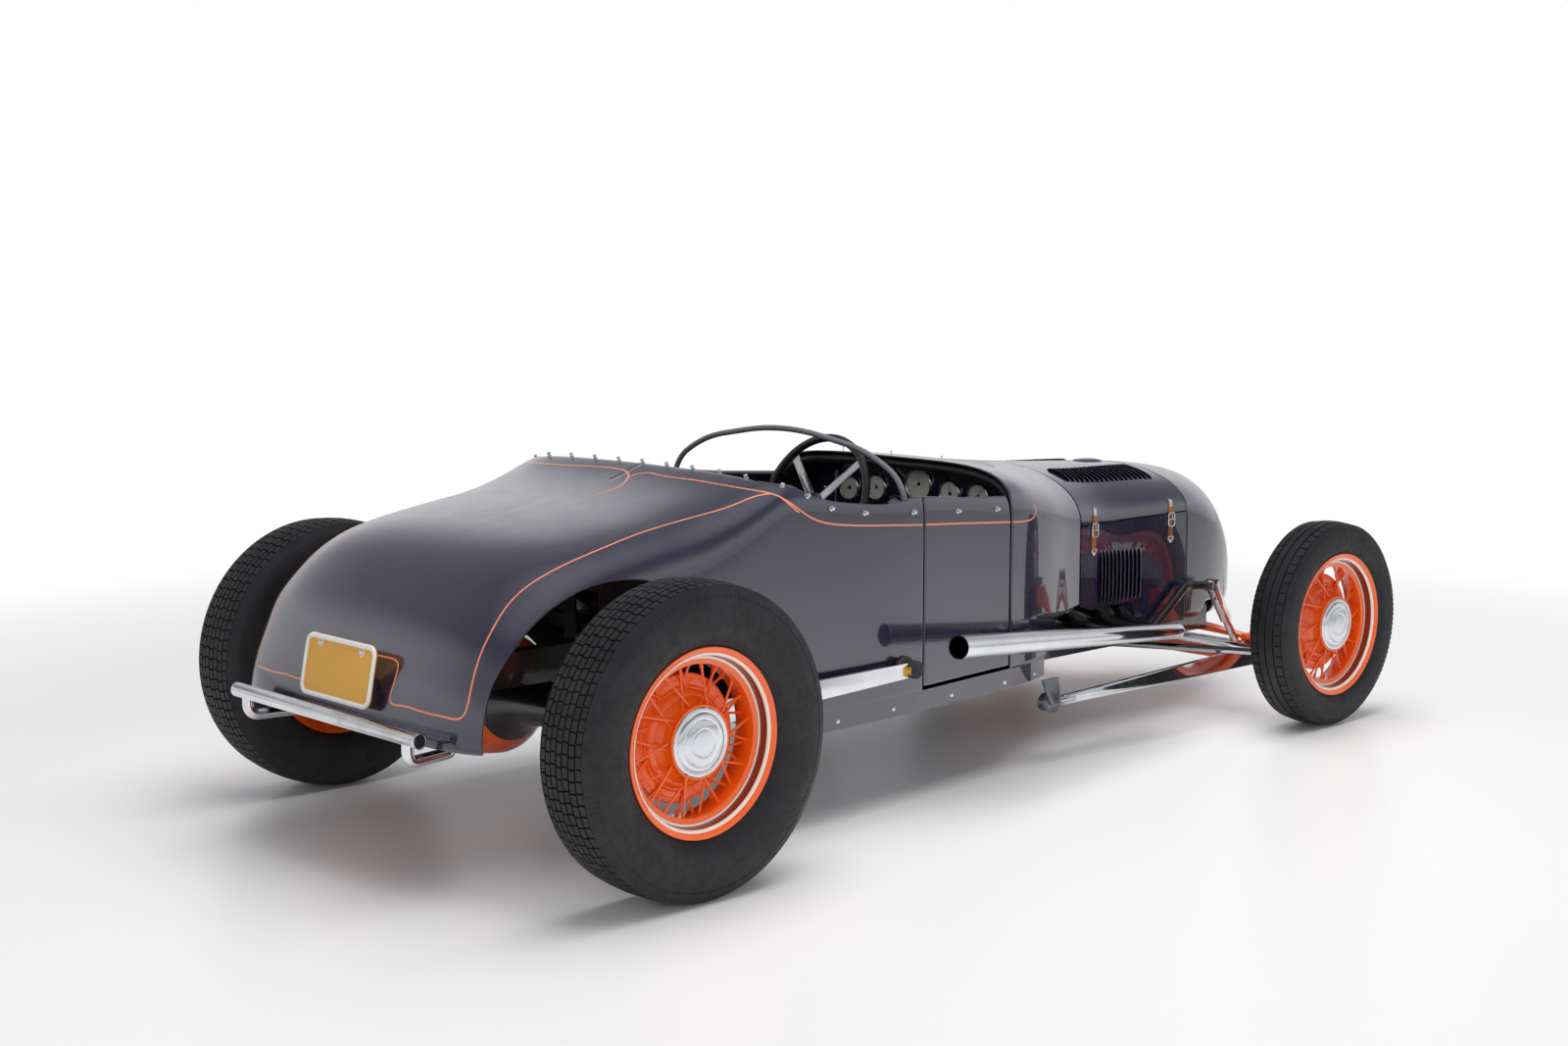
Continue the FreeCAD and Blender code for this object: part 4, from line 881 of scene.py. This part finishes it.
def louvreHood(build, x, start, end, sign, upright):
    # the pressed metal over a slot, open to the rear
    rows, columns = 7, 17
    points = []
    for i in range(rows):
        part = i / (rows - 1)
        atX = x + louvres["lead"] - part * (louvres["lead"] + louvres["cover"])
        for j in range(columns):
            share = j / (columns - 1)
            t = start - louvres["past"] + share * (end - start + 2 * louvres["past"])
            if upright:
                origin, way = place(atX, sign * 600, t), Vector((0, -sign, 0))
            else:
                origin, way = place(atX, sign * t, 1100), Vector((0, 0, -1))
            hit, normal, _, _ = surfaces["hood"].ray_cast(origin, way)
            ease = (1 - abs(2 * share - 1) ** 4) ** 0.6
            points.append(hit + normal * (louvres["lift"] * math.sin(part * math.pi / 2) * ease - 0.3) * mm)
    build.add(points, gridFaces(rows, columns))


def louvreBank(name, panel, slots, upright):
    # slots are (x, start, end, sign); start and end run outward on top and upward on the sides
    cutters, hoods = Builder(), Builder()
    for x, start, end, sign in slots:
        outline = stadium(start, end, louvres["width"] / 2)
        if upright:
            low, high = ([place(x + a, sign * reach, b) for a, b in outline]
                         for reach in louvres["throughSide"])
        else:
            low, high = ([place(x + a, sign * b, reach) for a, b in outline]
                         for reach in louvres["throughTop"])
        prism(cutters, low, high)
        louvreHood(hoods, x, start, end, sign, upright)
    carve(panel, cutters)
    thicken(hoods.piece(name, [indigoEnamel], angle=60), louvres["metal"]).offset = 0


louvreBank("louvres_top", hoodTop, [
    (louvres["topX"] + k * louvres["topPitch"], louvres["inner"] - louvres["innerStep"] * k,
     louvres["outer"], sign) for k in range(louvres["topCount"]) for sign in (1, -1)], False)
for side, sign in (("left", 1), ("right", -1)):
    louvreBank("louvres_" + side, hoodSides[side], [
        (louvres["sideX"] + k * louvres["sidePitch"], louvres["sideLow"], louvres["sideHigh"] - k, sign)
        for k in range(louvres["sideCount"])], True)
print("louvres done")


def onSurface(surface, point):
    at, normal, _, _ = surface.find_nearest(Vector(point))
    return at, normal


def band(build, surface, route, width, low, high, slot=0, step=6.0):
    # a ribbon that lies on a surface along a smooth line through the route's points
    points = np.array(route, float)
    steps = np.concatenate([[0], np.cumsum(np.linalg.norm(np.diff(points, axis=0), axis=1))])
    count = max(8, int(steps[-1] / step))
    line = [onSurface(surface, place(*p)) for p in spline(steps, points, np.linspace(0, steps[-1], count))]
    half = width / 2
    shape = [(-half, low), (-half, low + 0.7 * (high - low)), (-0.8 * half, high), (0.8 * half, high),
             (half, low + 0.7 * (high - low)), (half, low)]
    ring = []
    for i, (at, normal) in enumerate(line):
        way = (line[min(i + 1, count - 1)][0] - line[max(i - 1, 0)][0]).normalized()
        side = way.cross(normal).normalized()
        for offset, rise in shape:
            foot, out = onSurface(surface, at + side * offset * mm)
            ring.append(foot + out * rise * mm)
    caps = [tuple(range(6))[::-1], tuple((count - 1) * 6 + k for k in range(6))]
    build.add(ring, gridFaces(count, 6, False, True) + caps, slot)


def mirrorRoute(route):
    return [(x, -y, z) for x, y, z in route]


stripes = {
    "width": 4.6, "proud": 0.45,
    "deck": [(488, -511, 871), (455, -493, 866), (387, -476, 846), (291, -450, 825), (163, -437, 804),
             (9, -449, 776), (-155, -449, 733), (-262, -435, 669), (-315, -443, 614), (-357, -445, 544),
             (-381, -451, 486), (-393, -453, 448), (-401, -447, 431), (-408, -430, 424), (-411, -405, 424),
             (-420, -337, 425), (-426, -225, 427), (-427, -199, 429), (-426, -192, 436), (-420, -191, 460),
             (-412, -191, 500), (-408, -186, 518), (-407, -170, 527), (-407, -140, 529), (-410, 0, 529)],
    "tail": [(505, -524, 859), (520, -531, 847), (538, -536, 833), (556, -538, 820)],
    "farCoaming": [(1024, 521, 747), (880, 532, 759), (715, 537, 775), (598, 539, 804), (517, 532, 854),
                   (473, 487, 876), (452, 403, 883), (450, 208, 890), (455, 60, 894), (443, -3, 890),
                   (420, -38, 882), (375, -69, 868), (328, -82, 857), (283, -72, 848)],
    "nearCoaming": [(421, -40, 882), (436, -46, 887), (447, -60, 891), (449, -126, 891), (449, -270, 888),
                    (452, -403, 883), (473, -487, 876), (517, -532, 854), (598, -539, 804), (715, -537, 775),
                    (880, -532, 759), (1024, -521, 747)],
    "door": [(1038, -520, 746), (1160, -510, 737), (1272, -498, 728), (1422, -482, 716)],
    "cowl": [(1434, -481, 715), (1497, -474, 711), (1535, -467, 713), (1556, -461, 722), (1564, -455, 740),
             (1558, -455, 753)]}


def stripePiece(name, surface, routes, body=chassis):
    build = Builder()
    for route in routes:
        band(build, surface, route, stripes["width"], -0.2, stripes["proud"])
    return build.piece(name, [stripeEnamel], body, 60)


deckRoute = stripes["deck"] + mirrorRoute(stripes["deck"])[-2::-1]
stripePiece("stripe_tub", surfaces["tub"], [deckRoute, stripes["tail"], mirrorRoute(stripes["tail"]),
                                            stripes["farCoaming"], stripes["nearCoaming"]])
stripePiece("stripe_cowl", surfaces["cowl"], [stripes["cowl"], mirrorRoute(stripes["cowl"])])
stripePiece("stripe_door_right", surfaces["door_right"], [stripes["door"]], "door_right")
stripePiece("stripe_door_left", surfaces["door_left"], [mirrorRoute(stripes["door"])], "door_left")

studs = {
    "post": [(7.0, -0.6), (7.0, 0.9), (5.4, 1.7), (3.2, 2.2), (3.0, 5.2), (5.0, 6.2), (5.6, 8.0), (5.0, 9.8),
             (3.0, 11.0), (0.05, 11.4)],
    "pin": [(4.2, -0.6), (4.2, 0.8), (1.9, 1.4), (1.7, 10.5), (2.6, 11.3), (2.6, 13.2), (1.4, 14.2),
            (0.05, 14.5)],
    "screw": [(6.5, -0.6), (6.4, 0.8), (5.4, 2.2), (3.4, 3.2), (0.05, 3.6)],
    "coaming": [(505, 0, 914), (507, -99, 912), (508, -201, 910), (511, -304, 907), (516, -405, 900),
                (530, -506, 886), (591, -530, 857), (671, -536, 821), (794, -534, 799), (987, -524, 784)],
    "door": [(1180, -506, 769), (1360, -488, 758)],
    "cowl": [(1447, 0, 868), (1447, -200, 862), (1449, -385, 838)],
    "pan": [(700, -540, 268), (914, -540, 268), (1167, -540, 266), (1416, -540, 264), (1600, -540, 262)]}


def studRow(build, surface, shape, points):
    for point in points:
        at, normal = onSurface(surface, place(*point))
        build.turn(studs[shape], at, normal, 20)


build = Builder()
studRow(build, surfaces["tub"], "post", studs["coaming"] + mirrorRoute(studs["coaming"][1:]))
studRow(build, surfaces["cowl"], "pin", studs["cowl"] + mirrorRoute(studs["cowl"][1:]))
studRow(build, surfaces["pan"], "screw", studs["pan"] + mirrorRoute(studs["pan"]))
build.piece("cover_studs", [chromePlate])
for side, route in (("right", studs["door"]), ("left", mirrorRoute(studs["door"]))):
    build = Builder()
    studRow(build, surfaces["door_" + side], "post", route)
    build.piece("door_studs_" + side, [chromePlate], "door_" + side)
print("stripes and studs done")

straps = {
    "rear": [(1991, -324, 694), (1981, -333, 672), (1975, -338, 649), (1972, -340, 600), (1971, -340, 556)],
    "front": [(2378, -316, 690), (2371, -325, 668), (2367, -329, 646), (2366, -331, 600), (2365, -331, 558)],
    "width": 21.0, "thick": 3.6, "tab": 17.0, "tabThick": 2.4, "buckleUp": 6, "buckleTall": 42.0,
    "buckleWide": 31.0, "buckleWire": 2.3, "buckleStands": 5.2, "barWire": 1.9, "barStands": 5.6,
    "tongueWire": 1.5, "tongueLong": 19, "keeperUp": 12, "keeperTall": 9.0, "keeperWire": 1.8,
    "keeperStands": 3.6, "screwDown": 9}


def frameLoop(build, at, normal, up, wide, tall, stands, radius):
    # a rounded frame of bent wire that stands off a surface
    across = up.cross(normal).normalized()
    up = normal.cross(across)
    corner = min(wide, tall) * 0.28
    points = []
    for quarter in range(4):
        cx = (wide / 2 - corner) * (1 if quarter in (0, 3) else -1)
        cy = (tall / 2 - corner) * (1 if quarter in (0, 1) else -1)
        for k in range(5):
            a = math.pi / 2 * (quarter + k / 4)
            points.append(at + (across * (cx + corner * math.cos(a)) + up * (cy + corner * math.sin(a))
                                + normal * stands) * mm)
    build.tube(points, radius, 10, 1, closed=True)


def screw(build, at, normal, rise, sides, slot=1):
    build.turn(studs["screw"], at + normal * rise * mm, normal, sides, slot)


def strapPiece(name, route):
    build = Builder()
    surface = surfaces["hood"]
    up = Vector((0, 0, 1))
    band(build, surface, route[1:], straps["width"], 0.2, straps["thick"], 0, 4.0)
    band(build, surface, route[:2], straps["tab"], 0.2, straps["tabThick"], 1, 3.0)
    for share in (0.25, 0.85):
        point = [a + (b - a) * share for a, b in zip(route[0], route[1])]
        screw(build, *onSurface(surface, place(*point)), 2, 16)
    middle = place(*[(a + b) / 2 for a, b in zip(route[2], route[3])])
    at, normal = onSurface(surface, middle + up * straps["buckleUp"] * mm)
    frameLoop(build, at, normal, up, straps["buckleWide"], straps["buckleTall"], straps["buckleStands"],
              straps["buckleWire"])
    bar = at + normal * straps["barStands"] * mm
    across = up.cross(normal).normalized() * straps["buckleWide"] / 2 * mm
    build.tube([bar - across, bar + across], straps["barWire"], 10, 1)
    build.tube([bar + normal * 1.5 * mm, bar + (normal * 0.8 + up * straps["tongueLong"]) * mm],
               straps["tongueWire"], 8, 1)
    # the keeper below, with its screw
    low, normal = onSurface(surface, place(*route[4]) + up * straps["keeperUp"] * mm)
    frameLoop(build, low, normal, up, straps["width"] + 5, straps["keeperTall"], straps["keeperStands"],
              straps["keeperWire"])
    screw(build, low - up * straps["screwDown"] * mm, normal, 3.2, 16)
    build.piece(name, [bridleLeather, chromePlate], chassis, 40)


for name in ("rear", "front"):
    strapPiece("strap_%s_right" % name, straps[name])
    strapPiece("strap_%s_left" % name, mirrorRoute(straps[name]))

blister = {"x": 2372, "y": 8, "long": 126, "wide": 56, "tall": 10}


def blisterPiece():
    build = Builder()
    rings, sides = 8, 40
    points = []
    for i in range(rings):
        share = i / (rings - 1)
        for k in range(sides):
            a = 2 * math.pi * k / sides
            c, s = math.cos(a), math.sin(a)
            reach = (abs(c) ** 4 + abs(s) ** 4) ** -0.25 / 2 * (1 - share * 0.97)
            x = blister["x"] + c * reach * blister["long"]
            start = place(x, blister["y"] + s * reach * blister["wide"], 1000)
            at, normal, _, _ = surfaces["hood"].ray_cast(start, Vector((0, 0, -1)))
            points.append(at + normal * (blister["tall"] * math.sin(share * math.pi / 2) ** 0.55 - 0.4) * mm)
    lid = tuple((rings - 1) * sides + k for k in range(sides))
    build.add(points, gridFaces(rings, sides, False, True) + [lid])
    build.piece("hood_blister", [indigoEnamel], angle=50)


blisterPiece()
print("straps done")


# Cockpit

gauges = {
    "dials": [(280, 742, 41, 205), (165, 752, 41, 150), (90, 700, 30, 120), (-10, 775, 53, 215),
              (-135, 757, 41, 95), (-245, 757, 41, 60)],  # y, z, radius, the needle's angle
    "knobs": [(370, 735), (215, 692), (-80, 700), (-330, 735)], "sweep": 270.0, "firstTick": 225.0,
    "longTick": (4.6, 0.8), "shortTick": (2.6, 0.5), "bezel": 6.5, "face": 3.4,
    "knob": [(8, -0.5), (8, 3), (4, 4), (3.5, 12), (8, 14), (10, 19), (8, 24), (4, 26), (0.05, 26.4)]}


def dashAt(y, z):
    # the dash's face toward the seats
    at, normal, _, _ = surfaces["dash"].ray_cast(place(1450, y, z), Vector((1, 0, 0)))
    return at, normal if normal.x < 0 else -normal


def gaugePiece():
    build = Builder()
    for y, z, radius, angle in gauges["dials"]:
        at, normal = dashAt(y, z)
        across = Vector((0, -1, 0))
        up = normal.cross(across).normalized()
        if up.z < 0:
            up = -up

        def clock(degrees):
            a = math.radians(degrees)
            return across * math.cos(a) + up * math.sin(a), across * -math.sin(a) + up * math.cos(a)

        inner = radius - gauges["bezel"]
        build.turn([(radius + 2, -0.5), (radius + 2, 5), (radius, 8), (radius - 3, 9.5), (inner, 7.5),
                    (inner - 0.5, 3.2)], at, normal, 48)
        build.turn([(inner, gauges["face"]), (0.05, gauges["face"])], at, normal, 48, 1)
        ticks = 31 if radius > 45 else 19
        for k in range(ticks):
            long, wide = gauges["shortTick"] if k % 3 else gauges["longTick"]
            way, turn = clock(gauges["firstTick"] - gauges["sweep"] * k / (ticks - 1))
            centre = at + (way * (radius - 9 - long / 2) + normal * 3.7) * mm
            build.block(centre, (way, turn, normal), (long * mm, wide * mm, 0.5 * mm), 2)
        way, turn = clock(angle)
        reach = radius - 13
        build.block(at + (way * (reach / 2 - 3) + normal * 5.0) * mm, (way, turn, normal),
                    ((reach + 6) * mm, 1.5 * mm, 0.6 * mm), 3)
        screw(build, at, normal, 3, 20, 2)
    for y, z in gauges["knobs"]:
        build.turn(gauges["knob"], *dashAt(y, z), 24)
    build.piece("dash_gauges", [spunAluminium, dialCard, hardRubber, orangeEnamel])


gaugePiece()

pads = {"voxel": 0.008, "frames": 16, "pressure": 4.0, "shrink": 9.0, "cap": 9.0, "pleat": 62.0,
        "groove": 5.0, "grooveWide": 7.0, "clear": 0.5, "fill": 0.8}


def puff(piece):
    # the cover is blown out a little from a smaller block, as stuffing does
    cloth = piece.modifiers.new("cloth", "CLOTH")
    data = cloth.settings
    data.quality = 4
    data.use_pressure = True
    data.uniform_pressure_force = pads["pressure"]
    data.effector_weights.gravity = 0
    start = [v.co.copy() for v in piece.data.vertices]
    scene = bpy.context.scene
    for step in range(1, pads["frames"] + 1):
        scene.frame_set(step)
    graph = bpy.context.evaluated_depsgraph_get()
    blown = bpy.data.meshes.new_from_object(piece.evaluated_get(graph))
    piece.modifiers.clear()
    for vertex, after, before in zip(piece.data.vertices, blown.vertices, start):
        move = after.co - before
        limit = pads["cap"] * mm
        vertex.co = before + (move if move.length < limit else move.normalized() * limit)
    scene.frame_set(1)


def cushion(node, name, face):
    # face names the side that the sewn pleats show on
    low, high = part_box(node)
    centre = (low + high) / 2
    piece = bpy.data.objects.new(name, frame["nodes"][node].data.copy())
    bpy.context.scene.collection.objects.link(piece)
    shrink = Vector([1 - 2 * pads["shrink"] * mm / (b - a) for a, b in zip(low, high)])
    for vertex in piece.data.vertices:
        vertex.co = centre + (vertex.co - centre) * shrink
    remesh = piece.modifiers.new("remesh", "REMESH")
    remesh.mode = "VOXEL"
    remesh.voxel_size = pads["voxel"]
    graph = bpy.context.evaluated_depsgraph_get()
    piece.data = bpy.data.meshes.new_from_object(piece.evaluated_get(graph))
    piece.modifiers.clear()
    puff(piece)
    half = pads["pleat"] * mm / 2
    for vertex in piece.data.vertices:
        normal = vertex.normal
        facing = max(0.0, normal.x if face == "front" else normal.z)
        near = abs((vertex.co.y + half) % (2 * half) - half)
        groove = math.exp(-(near / (pads["grooveWide"] * mm)) ** 2) * pads["groove"] * mm * facing
        vertex.co -= normal * groove
        clear = pads["clear"] * mm
        vertex.co = Vector([min(max(c, a + clear), b - clear) for c, a, b in zip(vertex.co, low, high)])
    piece.data.polygons.foreach_set("use_smooth", [True] * len(piece.data.polygons))
    piece.data.materials.clear()
    piece.data.materials.append(blackHide)
    smooth = piece.modifiers.new("smooth", "SUBSURF")
    smooth.levels = smooth.render_levels = 1
    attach(piece, chassis)
    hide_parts(node)


cushion("seat_base", "seat_cushion", "top")
cushion("seat_back", "back_cushion", "front")


roll = {"x": 1449.0, "down": 790, "inward": 22, "radius": 15, "fill": 0.9}


def cowlPadAndShade():
    # a roll of black hide under the cowl's rear edge; its black is also painted shade for the shadow under
    # the cowl's lip
    table = np.array([sectionRow(x) for x in form["cowlStations"]], float)
    path = sectionPath(spline(table[:, 0], table, [roll["x"]])[0])
    path = resample(path, 0, crossing(path, roll["down"] - path[:, 2]), 60)
    way = np.gradient(path[:, 1:], axis=0)
    way /= np.linalg.norm(way, axis=1)[:, None]
    path[:, 1:] += np.stack([way[:, 1], -way[:, 0]], axis=1) * roll["inward"]
    build = Builder()
    points = [place(*p) for p in path[::-1]] + [place(x, -y, z) for x, y, z in path[1:]]
    build.tube(points, roll["radius"], 20)
    piece = build.piece("cowl_pad_and_shade", [blackHide], chassis, 50)


cowlPadAndShade()
print("cockpit done")


# Tail

plate = {"wide": 152.0, "tall": 76.0, "corner": 28.0, "rim": 12.0, "boltY": 90, "boltDown": 21,
         "washer": [(11, -0.3), (11, 0.8), (9.4, 1.4), (8.4, 1.2)],
         "frame": [(0.4, -2.6), (0.4, 1.5), (1.6, 3.2), (3.5, 4.0), (10.0, 4.0), (12.0, 2.8), (12.4, -0.4)],
         "line": [(19.0, -0.3), (19.8, 0.8), (21.6, 0.8), (22.4, -0.3)]}  # frame and line: (inset, rise)


def plateDress():
    # a blank plate in a white frame with rounded corners, held by two bolts
    low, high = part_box("licence_plate")
    start = Vector((low.x - 0.2, 0, (low.z + high.z) / 2))
    at, normal, _, _ = surfaces["plate"].ray_cast(start, Vector((1, 0, 0)))
    if normal.x > 0:
        normal = -normal
    across = Vector((0, 1, 0))
    up = across.cross(normal).normalized()
    if up.z < 0:
        up = -up
    build = Builder()

    def outline(inset, rise):
        points = []
        corner = plate["corner"] - inset
        for quarter in range(4):
            cx = (plate["wide"] - plate["corner"]) * (1 if quarter in (0, 3) else -1)
            cy = (plate["tall"] - plate["corner"]) * (1 if quarter in (0, 1) else -1)
            for k in range(9):
                a = math.pi / 2 * (quarter + k / 8)
                points.append(at + (across * (cx + corner * math.cos(a)) + up * (cy + corner * math.sin(a))
                                    + normal * rise) * mm)
        return points

    def moulding(profile, slot):
        points = [point for inset, rise in profile for point in outline(inset, rise)]
        build.add(points, gridFaces(len(profile), 36, False, True), slot)

    moulding(plate["frame"], 0)
    build.add(outline(plate["rim"] - 1, 0.4), [tuple(range(36))], 2)
    moulding(plate["line"], 2)  # the pressed line round the blank field
    for y in (-plate["boltY"], plate["boltY"]):
        base = at + (across * y + up * (plate["tall"] - plate["boltDown"])) * mm
        build.turn(plate["washer"], base, normal, 24)
        screw(build, base, normal, 0.6, 6)
    build.piece("plate_frame", [whiteEnamel, chromePlate, plateEnamel], chassis, 40)


plateDress()
dressed("licence_plate", plateEnamel)

bumper = {"x": -485.5, "half": 402.0, "z": 380.0,
          "rim": [(18.4, -3), (18.4, 0.6), (17.6, 1.6), (15.6, 1.6), (14.8, 0.8), (14.6, -0.2)],
          "plug": [(14.8, 0.2), (12, 0.7), (6, 0.9), (5.4, 2.6), (0.05, 2.8)]}


def bumperCaps():
    build = Builder()
    for sign in (1, -1):
        at = place(bumper["x"], sign * bumper["half"], bumper["z"])
        for part, slot in (("rim", 0), ("plug", 1)):
            build.turn(bumper[part], at, (0, sign, 0), 40, slot)
    build.piece("bumper_caps", [chromePlate, hardRubber], chassis, 40)


bumperCaps()


# Nodes with more than one finish

def dressedBy(node, materials, choose):
    # choose gives the number of a face's finish from its middle, with y measured outward
    piece = dressed(node, materials[0])
    for material in materials[1:]:
        piece.data.materials.append(material)
    for face in piece.data.polygons:
        x, y, z = face.center / mm
        face.material_index = choose(x - shiftX, abs(y), z)


splits = {"wheelHub": (1335, 210, 717), "wheelRim": 188, "wheelBoss": 36,
          "pipeRear": (1024, 655, 436), "pipeFront": (2190, 495, 317), "pipeRadius": 34.5, "pipeTaper": 8,
          "rearFoot": 84, "rearCollar": 903, "rearEye": 929, "frontEye": 1668, "frontFoot": 2560,
          "shockLever": 2528, "shockFoot": (2596, 232), "axleTube": (100, 620), "beamTop": (215.9, 465)}


def wheelFinish(x, y, z):
    # the rim, then the spokes, then the boss
    away = math.dist((x, y, z), splits["wheelHub"])
    return 0 if away > splits["wheelRim"] else 1 if away > splits["wheelBoss"] else 2


def exhaustFinish(x, y, z):
    # the side pipe itself, then the branches from the engine
    rear, front = Vector(splits["pipeRear"]), Vector(splits["pipeFront"])
    share = (x - rear.x) / (front.x - rear.x)
    away = (Vector((x, y, z)) - rear.lerp(front, share)).length
    return 0 if away < splits["pipeRadius"] - splits["pipeTaper"] * share and x > rear.x - 4 else 1


def rearRodFinish(x, y, z):
    # blade, then its brass collar, its eye in front and its foot at the axle
    if x > splits["rearCollar"]:
        return 1 if x < splits["rearEye"] else 2
    return 3 if x < splits["rearFoot"] else 0


def frontRodFinish(x, y, z):
    # blade, then its foot at the axle and its eye behind
    return 1 if x > splits["frontFoot"] else 2 if x < splits["frontEye"] else 0


def shockFinish(x, y, z):
    # drop link, then the lever and its body, then the bracket on the axle
    footX, footZ = splits["shockFoot"]
    return 2 if x > footX and z < footZ else 1 if x < splits["shockLever"] else 0


def rearAxleFinish(x, y, z):
    # the housing in the middle and the plates at the ends, then the tubes between
    low, high = splits["axleTube"]
    return 0 if y < low or y > high else 1


def frontAxleFinish(x, y, z):
    # the beam, then what stands on it
    topZ, endY = splits["beamTop"]
    return 1 if z > topZ and y < endY else 0


dressedBy("steering_wheel", [hardRubber, spunAluminium, chassisEnamel], wheelFinish)
dressedBy("exhaust_left", [chromePlate, chassisEnamel], exhaustFinish)
dressedBy("exhaust_right", [chromePlate, chassisEnamel], exhaustFinish)
dressedBy("rear_radius_rods", [chromePlate, turnedBrass, castIron, orangeEnamel], rearRodFinish)
dressedBy("front_radius_rods", [chromePlate, orangeEnamel, forgedSteel], frontRodFinish)
dressedBy("front_shocks", [chromePlate, chassisEnamel, orangeEnamel], shockFinish)
dressedBy("rear_axle", [orangeEnamel, chassisEnamel], rearAxleFinish)
dressedBy("front_axle", [orangeEnamel, forgedSteel], frontAxleFinish)
print("two-colour nodes done")


# The rest keeps the form of its node under its own finish

# the bulkhead, cockpit floor and seat riser take the satin black, which is also painted shade
finishes = {
    "grille": chromePlate, "firewall": forgedSteel, "rear_bulkhead": satinBlackAndShade, "cockpit_floor": satinBlackAndShade,
    "dash_panel": indigoEnamel, "frame_rails": chassisEnamel, "belly_pan": indigoEnamel,
    "seat_riser": satinBlackAndShade, "knuckle_left": forgedSteel, "knuckle_right": forgedSteel,
    "tie_rod": chromePlate, "drag_link": chromePlate, "pitman_arm": forgedSteel,
    "steering_column": chassisEnamel, "rear_spring": chassisEnamel, "front_spring": orangeEnamel,
    "rear_bumper": chromePlate, "tonneau_bow": greyTube, "engine_block": castIron, "radiator": castIron}
for node, material in finishes.items():
    dressed(node, material)
print("nodes dressed")


# Stage, light and camera

# In metres, the lens in millimetres, the turns in degrees and the lamps in watts.
studio = {"floorHalf": 60.0, "fadeFrom": 2.3, "fadeTo": 4.6, "floor": "#f4f4f4", "strength": 0.8,
          "sky": ((0.1, 0.85), (0.3, 1.0), (0.55, 0.35), (0.75, 0.3)), "lens": 50.2,
          "camera": (-4.4168, -4.4373, 1.4813), "yaw": 46.61, "pitch": -7.25,
          "lamps": [("overhead", (0.2, -0.6, 4.6), (0, 0, 0.4), (5.5, 3.2), 210),
                    ("sideFill", (-4.5, -5.5, 2.6), (0, -0.2, 0.5), (3.0, 2.0), 60)]}


def stagePiece():
    # pale painted floor that fades to white for the camera alone
    size = studio["floorHalf"]
    mesh = bpy.data.meshes.new("floor")
    mesh.from_pydata([(-size, -size, 0), (size, -size, 0), (size, size, 0), (-size, size, 0)], [],
                     [(0, 1, 2, 3)])
    floor = bpy.data.objects.new("floor", mesh)
    bpy.context.scene.collection.objects.link(floor)
    material, tree, shader = startMaterial("paleFloorPaint")
    fillSockets(tree, shader, {"Roughness": 0.35, "Base Color": linear(studio["floor"])})
    where = addNode(tree, "ShaderNodeTexCoord").outputs["Object"]
    radius = addNode(tree, "ShaderNodeVectorMath", {0: where}, operation="LENGTH").outputs["Value"]
    fade = addNode(tree, "ShaderNodeMapRange", {"Value": radius, "From Min": studio["fadeFrom"],
                                                "From Max": studio["fadeTo"]})
    seen = addNode(tree, "ShaderNodeLightPath").outputs["Is Camera Ray"]
    share = addNode(tree, "ShaderNodeMath", {0: fade.outputs[0], 1: seen}, operation="MULTIPLY")
    glow = addNode(tree, "ShaderNodeEmission", {"Color": (1, 1, 1, 1), "Strength": 1.0})
    blend = addNode(tree, "ShaderNodeMixShader", {0: share.outputs[0], 1: shader.outputs[0],
                                                  2: glow.outputs[0]})
    fillSockets(tree, tree.nodes["Material Output"], {"Surface": blend.outputs[0]})
    mesh.materials.append(material)


def areaLight(name, where, target, size, power):
    # lamps light the part but are not mirrored in its paint
    data = bpy.data.lights.new(name, "AREA")
    data.shape = "RECTANGLE"
    data.size, data.size_y = size
    data.energy = power
    lamp = bpy.data.objects.new(name, data)
    bpy.context.scene.collection.objects.link(lamp)
    lamp.location = where
    lamp.rotation_euler = (Vector(target) - Vector(where)).to_track_quat("-Z", "Y").to_euler()
    lamp.visible_camera = False
    lamp.visible_glossy = False


def surroundings():
    # white to the camera; to the part, a room that is bright low down and dark overhead
    world = bpy.data.worlds.new("studio")
    bpy.context.scene.world = world
    world.use_nodes = True
    tree = world.node_tree
    tree.nodes.clear()
    way = addNode(tree, "ShaderNodeTexCoord").outputs["Generated"]
    height = addNode(tree, "ShaderNodeSeparateXYZ", {0: way}).outputs["Z"]
    share = addNode(tree, "ShaderNodeMapRange", {"Value": height, "From Min": -0.05})
    ramp = addNode(tree, "ShaderNodeValToRGB", {"Fac": share.outputs[0]})
    ramp.color_ramp.elements[0].color = (0.8, 0.8, 0.82, 1)
    ramp.color_ramp.elements[1].color = (0.9, 0.9, 0.92, 1)
    for where, level in studio["sky"]:
        ramp.color_ramp.elements.new(where).color = (level, level, level * 1.03, 1)
    around = addNode(tree, "ShaderNodeBackground", {"Color": ramp.outputs[0],
                                                    "Strength": studio["strength"]})
    white = addNode(tree, "ShaderNodeBackground", {"Color": (1, 1, 1, 1), "Strength": 1.0})
    seen = addNode(tree, "ShaderNodeLightPath").outputs["Is Camera Ray"]
    choice = addNode(tree, "ShaderNodeMixShader", {0: seen, 1: around.outputs[0], 2: white.outputs[0]})
    addNode(tree, "ShaderNodeOutputWorld", {"Surface": choice.outputs[0]})


stagePiece()
surroundings()
for lamp in studio["lamps"]:
    areaLight(*lamp)

camera = bpy.data.cameras.new("camera")
camera.lens = studio["lens"]
camera.sensor_width = 36
cameraObject = bpy.data.objects.new("camera", camera)
bpy.context.scene.collection.objects.link(cameraObject)
yaw, pitch = math.radians(studio["yaw"]), math.radians(studio["pitch"])
cameraObject.location = studio["camera"]
look = Vector((math.cos(yaw) * math.cos(pitch), math.sin(yaw) * math.cos(pitch), math.sin(pitch)))
cameraObject.rotation_euler = look.to_track_quat("-Z", "Y").to_euler()
bpy.context.scene.camera = cameraObject
bpy.context.scene.view_settings.view_transform = "Standard"

print("stage done")
